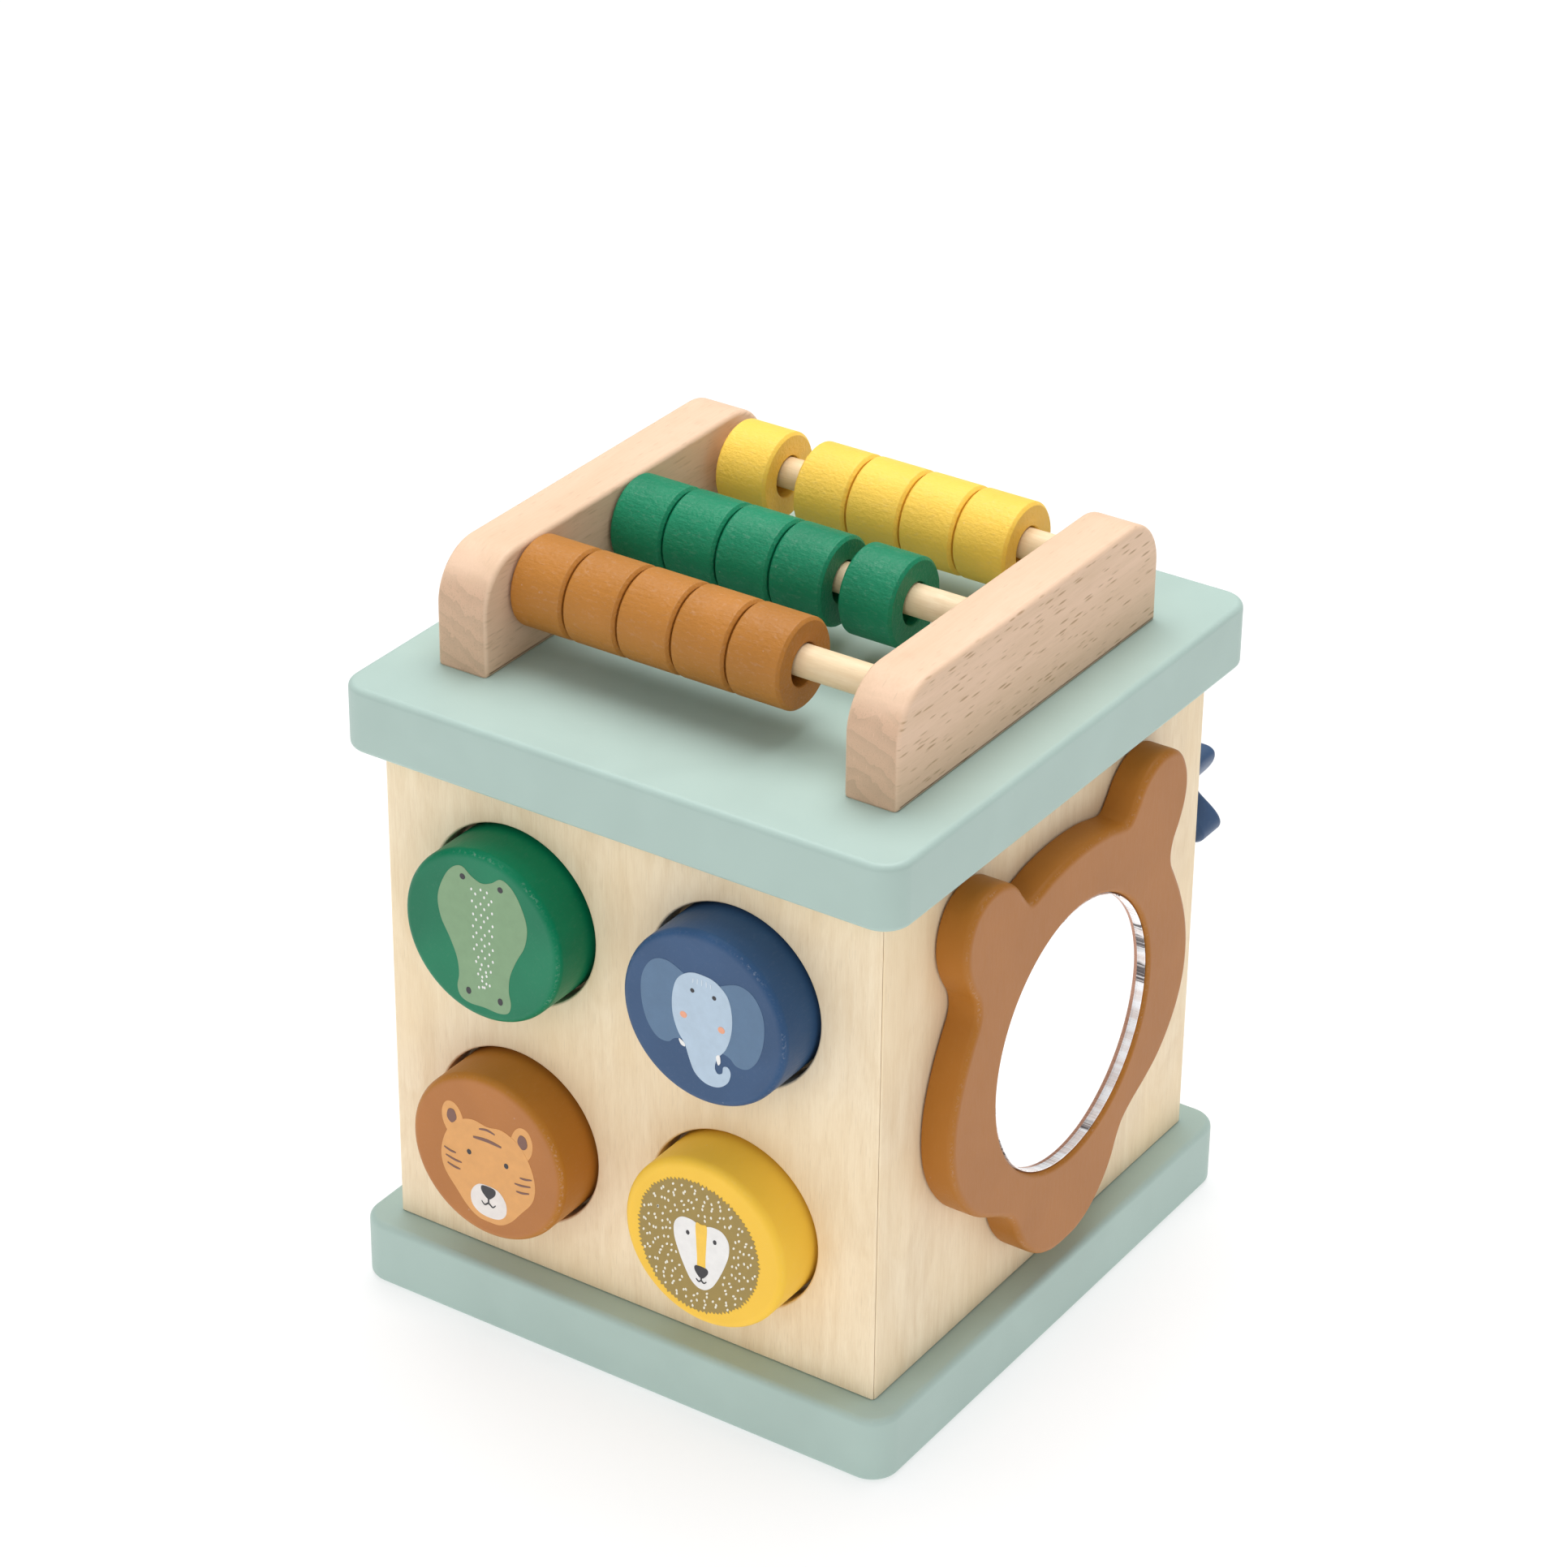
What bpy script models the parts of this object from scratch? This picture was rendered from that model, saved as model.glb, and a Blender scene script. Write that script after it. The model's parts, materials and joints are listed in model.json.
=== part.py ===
"""Wooden baby activity cube, modelled as its separate pieces.

Frame: origin at the centre of the base's underside, +Z up, metres.
-Y is the front, with the four animal buttons; +X the right, with the bear mirror;
+Y the back, with the three gears. The bead abacus stands on the top plate.
"""
import math

import bmesh
import bpy

MM = 0.001
FIT = 0.3 * MM            # clearance left between touching pieces
SOCKET_END_GAP = 0.6 * MM   # blind holes go this much deeper than what sits in them
OVERCUT = 2 * MM          # cutters reach this far past the wood in the abacus and gears
LONG_OVERCUT = 3 * MM     # and this far past the panels, guide board and mirror frame

# Plates
PLATE_X, PLATE_Y = 170.4 * MM, 177.2 * MM
PLATE_CORNER_R, PLATE_EDGE = 8.0 * MM, 1.6 * MM
BASE_T = 19.4 * MM
TOP_Z0, TOP_Z1 = 165.4 * MM, 184.2 * MM

# Body: a box of four mitred panels
HALF_X, HALF_Y = 153.8 * MM / 2, 159.8 * MM / 2
PANEL_T = 9.0 * MM
PANEL_CORNER_R = 1.0 * MM
BODY_Z0, BODY_Z1 = BASE_T + FIT, TOP_Z0 - FIT
INNER_X, INNER_Y = HALF_X - PANEL_T - FIT, HALF_Y - PANEL_T - FIT
POST_SIZE = 12.0 * MM

# Colours, linear RGB
MINT = (0.49, 0.665, 0.60)
PLY = (0.80, 0.66, 0.46)
BEECH = (0.76, 0.56, 0.37)
ROD_WOOD = (0.84, 0.71, 0.51)
BROWN = (0.47, 0.20, 0.055)
GREEN = (0.013, 0.20, 0.10)
YELLOW = (0.92, 0.62, 0.10)
NAVY = (0.045, 0.085, 0.19)
CROCODILE_GREEN = (0.013, 0.195, 0.098)
TIGER_ORANGE = (0.42, 0.17, 0.055)
LION_YELLOW = (0.92, 0.60, 0.08)
BEAR_BROWN = (0.45, 0.23, 0.12)
STEEL = (0.6, 0.6, 0.6)
SILVER = (0.9, 0.9, 0.92)


# ---------------------------------------------------------------- outlines and meshes
AXES = {
    "x": lambda u, v, w: (w, u, v),      # u -> Y, v -> Z, w along X
    "y": lambda u, v, w: (u, w, v),      # u -> X, v -> Z, w along Y
    "z": lambda u, v, w: (u, v, w),      # u -> X, v -> Y, w along Z
}


def arc(centre, radius, start, end, steps):
    """Points on a circle from one angle to another, in degrees."""
    angles = [math.radians(start + (end - start) * k / steps) for k in range(steps + 1)]
    return [(centre[0] + radius * math.cos(t), centre[1] + radius * math.sin(t))
            for t in angles]


def rectangle(u0, u1, v0, v1):
    return [(u0, v0), (u1, v0), (u1, v1), (u0, v1)]


def side_span(side, near, far):
    """Interval between two distances from the centre, on side -1 or +1, low end first."""
    return sorted((side * near, side * far))


def prism(outline, w0, w1, axis):
    """Closed prism of an outline, extruded from w0 to w1 along an axis."""
    bm = bmesh.new()
    place = AXES[axis]
    face = bm.faces.new([bm.verts.new(place(u, v, w0)) for u, v in outline])
    grown = bmesh.ops.extrude_face_region(bm, geom=[face])
    far_verts = [g for g in grown["geom"] if isinstance(g, bmesh.types.BMVert)]
    bmesh.ops.translate(bm, verts=far_verts, vec=place(0, 0, w1 - w0))
    return bm


def lathe(profile, axis, segments, closed=False):
    """Turn (radius, along) points about an axis. An open profile starts and ends on it."""
    bm = bmesh.new()
    place = AXES[axis]
    angles = [2 * math.pi * (k + 0.5) / segments for k in range(segments)]
    rings = []
    for radius, w in profile:
        if radius < 1e-7:
            rings.append([bm.verts.new(place(0, 0, w))])
        else:
            rings.append([bm.verts.new(place(radius * math.cos(t), radius * math.sin(t), w))
                          for t in angles])
    pairs = list(zip(rings, rings[1:]))
    if closed:
        pairs.append((rings[-1], rings[0]))
    for a, b in pairs:
        for k in range(segments):
            n = (k + 1) % segments
            if len(a) == 1:
                bm.faces.new((a[0], b[k], b[n]))
            elif len(b) == 1:
                bm.faces.new((a[k], b[0], a[n]))
            else:
                bm.faces.new((a[k], b[k], b[n], a[n]))
    return bm


def cylinder(radius, w0, w1, axis, segments):
    return lathe([(0, w0), (radius, w0), (radius, w1), (0, w1)], axis, segments)


def coil(radius, wire_r, turns, y0, y1, steps_per_turn=9, sides=4):
    """Wire helix about the Y axis, its centre line running from y0 to y1."""
    bm = bmesh.new()
    steps = steps_per_turn * turns
    wire_angles = [2 * math.pi * (j + 0.5) / sides for j in range(sides)]
    rings = []
    for k in range(steps + 1):
        turn = 2 * math.pi * turns * k / steps
        y = y0 + (y1 - y0) * k / steps
        ring = []
        for t in wire_angles:
            reach = radius + wire_r * math.cos(t)
            ring.append(bm.verts.new((reach * math.cos(turn), y + wire_r * math.sin(t),
                                      reach * math.sin(turn))))
        rings.append(ring)
    for a, b in zip(rings, rings[1:]):
        for j in range(sides):
            n = (j + 1) % sides
            bm.faces.new((a[j], b[j], b[n], a[n]))
    bm.faces.new(rings[0])
    bm.faces.new(rings[-1])
    return bm


# ---------------------------------------------------------------- objects
def material(name, colour, roughness, metallic):
    mat = bpy.data.materials.new(name)
    mat.use_nodes = True
    shader = mat.node_tree.nodes["Principled BSDF"]
    shader.inputs["Base Color"].default_value = (*colour, 1.0)
    shader.inputs["Roughness"].default_value = roughness
    shader.inputs["Metallic"].default_value = metallic
    mat.diffuse_color = (*colour, 1.0)
    return mat


def add_object(name, bm, at):
    """Turn a bmesh into a named object, its faces pointing outwards."""
    bmesh.ops.recalc_face_normals(bm, faces=bm.faces)
    if bm.calc_volume(signed=True) < 0:
        bmesh.ops.reverse_faces(bm, faces=bm.faces)
    mesh = bpy.data.meshes.new(name)
    bm.to_mesh(mesh)
    bm.free()
    ob = bpy.data.objects.new(name, mesh)
    bpy.context.collection.objects.link(ob)
    ob.location = at
    return ob


def piece(name, bm, colour, roughness, metallic=0.0, at=(0, 0, 0), smooth=50):
    """Object with its own material; edges under `smooth` degrees are shaded smooth."""
    ob = add_object(name, bm, at)
    ob.data.materials.append(material(name, colour, roughness, metallic))
    if smooth:
        ob.data.shade_smooth()
        ob.data.set_sharp_from_angle(angle=math.radians(smooth))
    return ob


def soften(ob, width, segments=2, angle=50):
    """Bevel the edges sharper than an angle in degrees."""
    bevel = ob.modifiers.new("edges", "BEVEL")
    bevel.width = width
    bevel.segments = segments
    bevel.limit_method = "ANGLE"
    bevel.angle_limit = math.radians(angle)
    bevel.use_clamp_overlap = False


def drill(ob, name, radius, w0, w1, axis, at, segments):
    """Cut a round hole with a hidden cylinder."""
    cutter = add_object(name, cylinder(radius, w0, w1, axis, segments), at)
    cutter.hide_render = True
    cutter.display_type = "WIRE"
    hole = ob.modifiers.new("cut", "BOOLEAN")
    hole.operation = "DIFFERENCE"
    hole.solver = "EXACT"
    hole.object = cutter


# ---------------------------------------------------------------- plates and body
def make_plate(name, z0, z1):
    u, v = PLATE_X / 2 - PLATE_CORNER_R, PLATE_Y / 2 - PLATE_CORNER_R
    outline = []
    for centre, start in (((u, v), 0), ((-u, v), 90), ((-u, -v), 180), ((u, -v), 270)):
        outline += arc(centre, PLATE_CORNER_R, start, start + 90, 6)
    plate = piece(name, prism(outline, z0, z1, "z"), MINT, roughness=0.6, smooth=40)
    soften(plate, PLATE_EDGE)
    return plate


def mitred_panel(half, depth):
    """Plan of one panel lying on the -v side: outer face at v = -depth, mitred ends."""
    gap = FIT / 2 * math.sqrt(2)      # leaves FIT between two mitre faces
    end = arc((half - PANEL_CORNER_R - gap, PANEL_CORNER_R - depth), PANEL_CORNER_R, -90, -45, 3)
    end.append((half - PANEL_T - gap, PANEL_T - depth))
    return end + [(-u, v) for u, v in reversed(end)]


def make_panel(name, half, depth, quarter):
    """Body panel, turned from the front by a number of quarter turns."""
    cos, sin = (1, 0, -1, 0)[quarter], (0, 1, 0, -1)[quarter]
    outline = [(cos * u - sin * v, sin * u + cos * v) for u, v in mitred_panel(half, depth)]
    return piece(name, prism(outline, BODY_Z0, BODY_Z1, "z"), PLY, roughness=0.6, smooth=None)


def make_corner_post(name, side):
    """Square post inside a back corner of the body."""
    x0, x1 = side_span(side, INNER_X, INNER_X - POST_SIZE)
    outline = rectangle(x0, x1, INNER_Y - POST_SIZE, INNER_Y)
    piece(name, prism(outline, BODY_Z0, BODY_Z1, "z"), PLY, roughness=0.7, smooth=None)


# ---------------------------------------------------------------- abacus
BAR_IN, BAR_T = 54.3 * MM, 15.6 * MM      # inner face from the centre, thickness
BAR_Y0, BAR_Y1 = -64.2 * MM, 62.4 * MM
BAR_LEFT_EXTRA = 1.2 * MM      # the left bar reaches this much further forward
BAR_Z0, BAR_Z1 = TOP_Z1 + FIT, 216.3 * MM
BAR_CORNER_R, BAR_EDGE = 15.0 * MM, 1.3 * MM
ROD_R, ROD_Z, ROD_SEAT = 4.35 * MM, 205.3 * MM, 9.0 * MM
ROD_PLAY = 0.35 * MM           # radial
DOWEL_R, DOWEL_IN = 4.0 * MM, 9.0 * MM
DOWEL_PLAY = 0.4 * MM          # radial
DOWEL_OFFSET = 22.0 * MM       # to the front and back of the bar's middle
BEAD_R, BEAD_BORE_R, BEAD_L = 12.5 * MM, 5.8 * MM, 16.4 * MM
BEAD_PITCH, BEAD_CHAMFER = BEAD_L + FIT, 0.9 * MM
BEAD_DROP = BEAD_BORE_R - ROD_R - FIT      # a bead hangs on its rod by this much


def bead_run(left, count):
    """Left faces of beads pushed together."""
    return [left + k * BEAD_PITCH for k in range(count)]


# row, y, bead word, bead colour, left faces of the beads
BEAD_ROWS = [
    ("front", -43.5 * MM, "brown", BROWN, bead_run(FIT - BAR_IN, 5)),
    ("middle", 0.4 * MM, "green", GREEN, bead_run(FIT - BAR_IN, 4) + [17.6 * MM]),
    ("back", 44.3 * MM, "yellow", YELLOW, [-50.6 * MM] + bead_run(-25.5 * MM, 4)),
]


def make_abacus_bar(word, side):
    """Upright side bar with both upper corners rounded and blind seats for the rods."""
    front = BAR_Y0 - (BAR_LEFT_EXTRA if side < 0 else 0)
    arc_z = BAR_Z1 - BAR_CORNER_R
    outline = [(front, BAR_Z0), (BAR_Y1, BAR_Z0)]
    outline += arc((BAR_Y1 - BAR_CORNER_R, arc_z), BAR_CORNER_R, 0, 90, 6)
    outline += arc((front + BAR_CORNER_R, arc_z), BAR_CORNER_R, 90, 180, 6)
    x0, x1 = side_span(side, BAR_IN, BAR_IN + BAR_T)
    bar = piece("abacus_bar_" + word, prism(outline, x0, x1, "x"), BEECH, roughness=0.55,
                smooth=40)
    soften(bar, BAR_EDGE)
    x0, x1 = side_span(side, BAR_IN - OVERCUT, BAR_IN + ROD_SEAT + SOCKET_END_GAP)
    for row, y, *_ in BEAD_ROWS:
        drill(bar, f"seat_{word}_{row}", ROD_R + ROD_PLAY, x0, x1, "x", (0, y, ROD_Z), 16)
    return bar


def make_bar_dowels(word, side, bar, top):
    """Two upright dowels joining a bar to the top plate, with their sockets."""
    z0, z1 = TOP_Z1 - DOWEL_IN, BAR_Z0 + DOWEL_IN
    socket_r = DOWEL_R + DOWEL_PLAY
    for end, offset in (("front", -DOWEL_OFFSET), ("back", DOWEL_OFFSET)):
        at = (side * (BAR_IN + BAR_T / 2), (BAR_Y0 + BAR_Y1) / 2 + offset, 0)
        where = f"{word}_{end}"
        piece("bar_dowel_" + where, cylinder(DOWEL_R, z0, z1, "z", 14), ROD_WOOD,
              roughness=0.7, at=at, smooth=40)
        drill(bar, "bar_socket_" + where, socket_r, BAR_Z0 - OVERCUT, z1 + SOCKET_END_GAP,
              "z", at, 14)
        drill(top, "top_socket_" + where, socket_r, z0 - SOCKET_END_GAP, TOP_Z1 + OVERCUT,
              "z", at, 14)


def make_bead_row(row, y, word, colour, lefts):
    """One rod and the beads on it."""
    reach = BAR_IN + ROD_SEAT
    piece("abacus_rod_" + row, cylinder(ROD_R, -reach, reach, "x", 16), ROD_WOOD,
          roughness=0.55, at=(0, y, ROD_Z), smooth=40)
    half, rim = BEAD_L / 2, BEAD_R - BEAD_CHAMFER
    profile = [
        (BEAD_BORE_R, -half), (rim, -half), (BEAD_R, BEAD_CHAMFER - half),
        (BEAD_R, half - BEAD_CHAMFER), (rim, half), (BEAD_BORE_R, half),
    ]
    for number, left in enumerate(lefts, 1):
        piece(f"{word}_bead_{number}", lathe(profile, "x", 20, closed=True), colour,
              roughness=0.45, at=(left + half, y, ROD_Z - BEAD_DROP))


# ---------------------------------------------------------------- push buttons
HOLE_R, BUTTON_R = 26.0 * MM, 24.8 * MM
BUTTON_OUT, BUTTON_ROUND = 14.0 * MM, 2.6 * MM
BUTTON_Y0, BUTTON_Y1 = -HALF_Y - BUTTON_OUT, -HALF_Y + PANEL_T
FLANGE_R, FLANGE_T = 28.5 * MM, 4.0 * MM
FLANGE_Y0 = BUTTON_Y1 + FIT
FLANGE_Y1 = FLANGE_Y0 + FLANGE_T
GUIDE_Y0, GUIDE_T = -47.0 * MM, 6.0 * MM
GUIDE_Y1 = GUIDE_Y0 + GUIDE_T
STEM_R, STEM_IN = 5.0 * MM, 8.0 * MM
STEM_PAST_GUIDE = 4.0 * MM
STEM_SOCKET_R = STEM_R + FIT
BUSH_PLAY = 0.4 * MM
SPRING_R, WIRE_R, SPRING_TURNS = 8.0 * MM, 0.8 * MM, 4

# animal, x, z, colour
BUTTONS = [
    ("crocodile", -36.3 * MM, 127.1 * MM, CROCODILE_GREEN),
    ("elephant", 32.8 * MM, 126.9 * MM, NAVY),
    ("tiger", -36.3 * MM, 59.1 * MM, TIGER_ORANGE),
    ("lion", 32.8 * MM, 58.9 * MM, LION_YELLOW),
]


def make_guide_board():
    """Board behind the front panel that the button stems slide through."""
    outline = rectangle(-INNER_X, INNER_X, BODY_Z0, BODY_Z1)
    return piece("guide_board", prism(outline, GUIDE_Y0, GUIDE_Y1, "y"), PLY, roughness=0.7,
                 smooth=None)


def make_button(animal, x, z, colour, front_panel, guide):
    """Round-edged button with its flange, stem and spring, and the holes they pass."""
    at = (x, 0, z)
    socket_end = BUTTON_Y1 - STEM_IN - FIT
    profile = [(0, BUTTON_Y0)]
    profile += arc((BUTTON_R - BUTTON_ROUND, BUTTON_Y0 + BUTTON_ROUND), BUTTON_ROUND, -90, 0, 3)
    profile += [(BUTTON_R, BUTTON_Y1), (STEM_SOCKET_R, BUTTON_Y1),
                (STEM_SOCKET_R, socket_end), (0, socket_end)]
    piece(animal + "_button", lathe(profile, "y", 32), colour, roughness=0.45, at=at)

    flange = rectangle(STEM_SOCKET_R, FLANGE_R, FLANGE_Y0, FLANGE_Y1)
    piece(animal + "_flange", lathe(flange, "y", 24, closed=True), PLY, roughness=0.7, at=at)

    stem = cylinder(STEM_R, BUTTON_Y1 - STEM_IN, GUIDE_Y1 + STEM_PAST_GUIDE, "y", 14)
    piece(animal + "_stem", stem, ROD_WOOD, roughness=0.6, at=at)

    drill(front_panel, animal + "_hole", HOLE_R,
          -HALF_Y - LONG_OVERCUT, -HALF_Y + PANEL_T + LONG_OVERCUT, "y", at, 40)
    drill(guide, animal + "_bush", STEM_R + BUSH_PLAY,
          GUIDE_Y0 - LONG_OVERCUT, GUIDE_Y1 + LONG_OVERCUT, "y", at, 14)

    end_gap = FIT + WIRE_R
    spring = coil(SPRING_R, WIRE_R, SPRING_TURNS, FLANGE_Y1 + end_gap, GUIDE_Y0 - end_gap)
    piece(animal + "_spring", spring, STEEL, roughness=0.3, metallic=1.0, at=at, smooth=60)


# ---------------------------------------------------------------- bear mirror
BEAR_X0, BEAR_T, BEAR_EDGE = HALF_X + FIT, 9.7 * MM, 1.6 * MM
BEAR_X1 = BEAR_X0 + BEAR_T
BEAR_Y, MIRROR_Z = -0.8 * MM, 93.7 * MM
POCKET_R, POCKET_D = 38.6 * MM, 4.2 * MM
MIRROR_R, MIRROR_T = 38.2 * MM, 3.0 * MM

# +Y half of the bear's head outline: (across, height) in mm, from chin to crown
BEAR_HALF = [
    (0, 28.0), (6, 28.4), (11.5, 30.2), (16.5, 33.4), (20.6, 37.3), (24, 42), (26.4, 47),
    (29.2, 51.2), (34, 54.6), (40, 57.8), (46.5, 62), (52, 67.6), (56.6, 74.6), (59.3, 82),
    (60.2, 89.5), (59.6, 97), (57.8, 104), (55, 111), (51.8, 117.2), (49.4, 121.6),
    (48.8, 125.2), (49.8, 129), (52.4, 133.2), (54.6, 138), (55.6, 143.4), (54.8, 149),
    (51.9, 154.1), (47.1, 157.1), (41.5, 157.9), (35.9, 156.6), (31.1, 153.3), (27.6, 148.8),
    (24.4, 145.8), (20, 146.4), (14, 147.9), (7, 148.8), (0, 149.1),
]


def make_mirror_frame():
    """Bear's head with a round pocket for the mirror."""
    ring = BEAR_HALF + [(-u, v) for u, v in reversed(BEAR_HALF[1:-1])]
    outline = [(u * MM + BEAR_Y, v * MM) for u, v in ring]
    frame = piece("mirror_frame", prism(outline, BEAR_X0, BEAR_X1, "x"), BEAR_BROWN,
                  roughness=0.6)
    soften(frame, BEAR_EDGE, angle=60)
    drill(frame, "mirror_pocket", POCKET_R, BEAR_X1 - POCKET_D, BEAR_X1 + LONG_OVERCUT, "x",
          (0, BEAR_Y, MIRROR_Z), 40)


def make_mirror():
    x0 = BEAR_X1 - POCKET_D + FIT
    piece("mirror", cylinder(MIRROR_R, x0, x0 + MIRROR_T, "x", 40), SILVER,
          roughness=0.03, metallic=1.0, at=(0, BEAR_Y, MIRROR_Z))


# ---------------------------------------------------------------- gears
MODULE = 6.25 * MM
TOOTH_REACH = 4.5 * MM    # tooth rise and valley depth from the middle circle
BACKLASH = 0.5 * MM       # taken off each gear's radius
TOOTH_SHAPE = 1.3         # above 1 the tooth is narrower than the valley
STEPS_PER_TOOTH = 10
GEAR_Y0, GEAR_T, GEAR_EDGE = 80.8 * MM, 12.4 * MM, 1.0 * MM
GEAR_Y1 = GEAR_Y0 + GEAR_T
PEG_R, GEAR_BORE_R, PEG_SEAT_PLAY = 4.0 * MM, 4.6 * MM, 0.35 * MM
PEG_HEAD_R, PEG_HEAD_T, PEG_CHAMFER = 8.5 * MM, 4.4 * MM, 1.5 * MM
PEG_INSET = 0.2 * MM      # peg's end, short of the back panel's inner face
PEG_HEAD_GAP = 0.5 * MM   # between gear and peg head
SMALL_TEETH, LARGE_TEETH = 8, 10
NAVY_CENTRE = (49.5 * MM, 117.4 * MM)       # x, z
NAVY_PHASE = math.radians(-14.2)
TRAIN_DIRECTION = math.radians(215.0)       # from each gear to the next, in the XZ plane


def gear_outline(teeth, phase):
    """Wave-shaped teeth; phase is the direction of one tooth in the XZ plane."""
    middle_r = MODULE * teeth / 2 - BACKLASH
    steps = teeth * STEPS_PER_TOOTH
    outline = []
    for k in range(steps):
        t = phase + 2 * math.pi * k / steps
        wave = (1 + math.cos(teeth * (t - phase))) / 2
        r = middle_r + TOOTH_REACH * (2 * wave ** TOOTH_SHAPE - 1)
        outline.append((r * math.cos(t), r * math.sin(t)))
    return outline


def make_gear(name, teeth, centre, phase, colour, back_panel):
    """Gear on a headed peg seated in the back panel."""
    at = (centre[0], 0, centre[1])
    gear = piece(name, prism(gear_outline(teeth, phase), GEAR_Y0, GEAR_Y1, "y"), colour,
                 roughness=0.5, at=at)
    soften(gear, GEAR_EDGE, segments=1, angle=60)
    drill(gear, name + "_bore", GEAR_BORE_R, GEAR_Y0 - OVERCUT, GEAR_Y1 + OVERCUT, "y", at, 16)

    y0, head_y0 = HALF_Y - PANEL_T + PEG_INSET, GEAR_Y1 + PEG_HEAD_GAP
    head_y1 = head_y0 + PEG_HEAD_T
    profile = [
        (0, y0), (PEG_R, y0), (PEG_R, head_y0), (PEG_HEAD_R, head_y0),
        (PEG_HEAD_R, head_y1 - PEG_CHAMFER), (PEG_HEAD_R - PEG_CHAMFER, head_y1), (0, head_y1),
    ]
    piece(name + "_peg", lathe(profile, "y", 16), BEECH, roughness=0.5, at=at)
    drill(back_panel, name + "_seat", PEG_R + PEG_SEAT_PLAY,
          HALF_Y - PANEL_T - LONG_OVERCUT, HALF_Y + LONG_OVERCUT, "y", at, 16)


def next_gear(centre, phase, teeth, mate_teeth):
    """Centre and phase of the gear meshing with the given one along the train."""
    distance = MODULE * (teeth + mate_teeth) / 2
    mate_centre = (centre[0] + distance * math.cos(TRAIN_DIRECTION),
                   centre[1] + distance * math.sin(TRAIN_DIRECTION))
    # a tooth of one gear meets a valley of the other
    turn = math.pi - teeth * (TRAIN_DIRECTION - phase)
    return mate_centre, TRAIN_DIRECTION + math.pi - turn / mate_teeth


# ---------------------------------------------------------------- build
SIDES = (("left", -1), ("right", 1))

for old in list(bpy.data.objects):
    bpy.data.objects.remove(old, do_unlink=True)

make_plate("bottom_plate", 0, BASE_T)
top_plate = make_plate("top_plate", TOP_Z0, TOP_Z1)

front_panel = make_panel("front_panel", HALF_X, HALF_Y, 0)
make_panel("right_panel", HALF_Y, HALF_X, 1)
back_panel = make_panel("back_panel", HALF_X, HALF_Y, 2)
make_panel("left_panel", HALF_Y, HALF_X, 3)

for word, side in SIDES:
    make_corner_post("corner_post_" + word, side)
    bar = make_abacus_bar(word, side)
    make_bar_dowels(word, side, bar, top_plate)
for bead_row in BEAD_ROWS:
    make_bead_row(*bead_row)

guide_board = make_guide_board()
for button in BUTTONS:
    make_button(*button, front_panel, guide_board)

make_mirror_frame()
make_mirror()

yellow_centre, yellow_phase = next_gear(NAVY_CENTRE, NAVY_PHASE, SMALL_TEETH, LARGE_TEETH)
green_centre, green_phase = next_gear(yellow_centre, yellow_phase, LARGE_TEETH, SMALL_TEETH)
make_gear("navy_gear", SMALL_TEETH, NAVY_CENTRE, NAVY_PHASE, NAVY, back_panel)
make_gear("yellow_gear", LARGE_TEETH, yellow_centre, yellow_phase, YELLOW, back_panel)
make_gear("green_gear", SMALL_TEETH, green_centre, green_phase, GREEN, back_panel)
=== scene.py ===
"""Looks of the wooden baby activity cube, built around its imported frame.

Z is up and the cube is centred on the Z axis. The four press discs are in the front panel (-Y),
the bear mirror faces right (+X), the gears face back (+Y) and the abacus rods run along X.
"""
import json
from math import acos, atan2, cos, floor, pi, radians, sin, sqrt, tan

import bmesh
import bpy
from mathutils import Matrix, Vector


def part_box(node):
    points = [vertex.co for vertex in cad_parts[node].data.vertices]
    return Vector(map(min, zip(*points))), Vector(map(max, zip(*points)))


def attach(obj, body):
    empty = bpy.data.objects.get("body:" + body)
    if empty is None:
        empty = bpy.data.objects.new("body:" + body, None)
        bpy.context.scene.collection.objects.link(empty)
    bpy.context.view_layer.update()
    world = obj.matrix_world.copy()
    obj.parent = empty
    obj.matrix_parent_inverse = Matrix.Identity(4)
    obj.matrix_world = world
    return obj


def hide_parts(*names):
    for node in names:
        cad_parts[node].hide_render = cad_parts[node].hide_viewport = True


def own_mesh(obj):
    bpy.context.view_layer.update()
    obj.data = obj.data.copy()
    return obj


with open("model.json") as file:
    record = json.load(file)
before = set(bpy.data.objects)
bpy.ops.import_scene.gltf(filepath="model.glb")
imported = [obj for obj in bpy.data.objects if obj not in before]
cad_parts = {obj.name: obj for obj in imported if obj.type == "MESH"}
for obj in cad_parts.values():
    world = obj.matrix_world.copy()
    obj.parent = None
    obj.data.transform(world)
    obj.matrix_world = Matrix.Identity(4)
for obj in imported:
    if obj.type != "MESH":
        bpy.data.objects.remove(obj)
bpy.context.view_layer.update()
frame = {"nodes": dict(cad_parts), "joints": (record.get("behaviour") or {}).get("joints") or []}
MM = 0.001


def span(node):
    """Low corner, high corner and middle of a frame node."""
    low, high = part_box(node)
    return low, high, (low + high) / 2


DISC_COLOURS = {"crocodile": "green", "elephant": "navy", "tiger": "brown", "lion": "yellow"}
DISC_SPANS = {animal: span(animal + "_button") for animal in DISC_COLOURS}
ROWS = ("front", "middle", "back")


# ------------------------------------------------------------------ outlines and profiles
# Outlines are lists of (across, up). Profiles are lists of (radius, depth, edge mark), where depth
# runs along the axis and the edge mark is 1 on an edge that loses its paint and shows a painted
# pale highlight line.
PLACE = {
    "x": lambda across, up, depth: (depth, across, up),
    "y": lambda across, up, depth: (across, depth, up),
    "z": lambda across, up, depth: (across, up, depth),
}


def arc(across, up, radius, start, end, steps):
    """Points of an arc about (across, up), from start to end degrees."""
    angles = (radians(start + (end - start) * k / steps) for k in range(steps + 1))
    return [(across + radius * cos(angle), up + radius * sin(angle)) for angle in angles]


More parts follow.
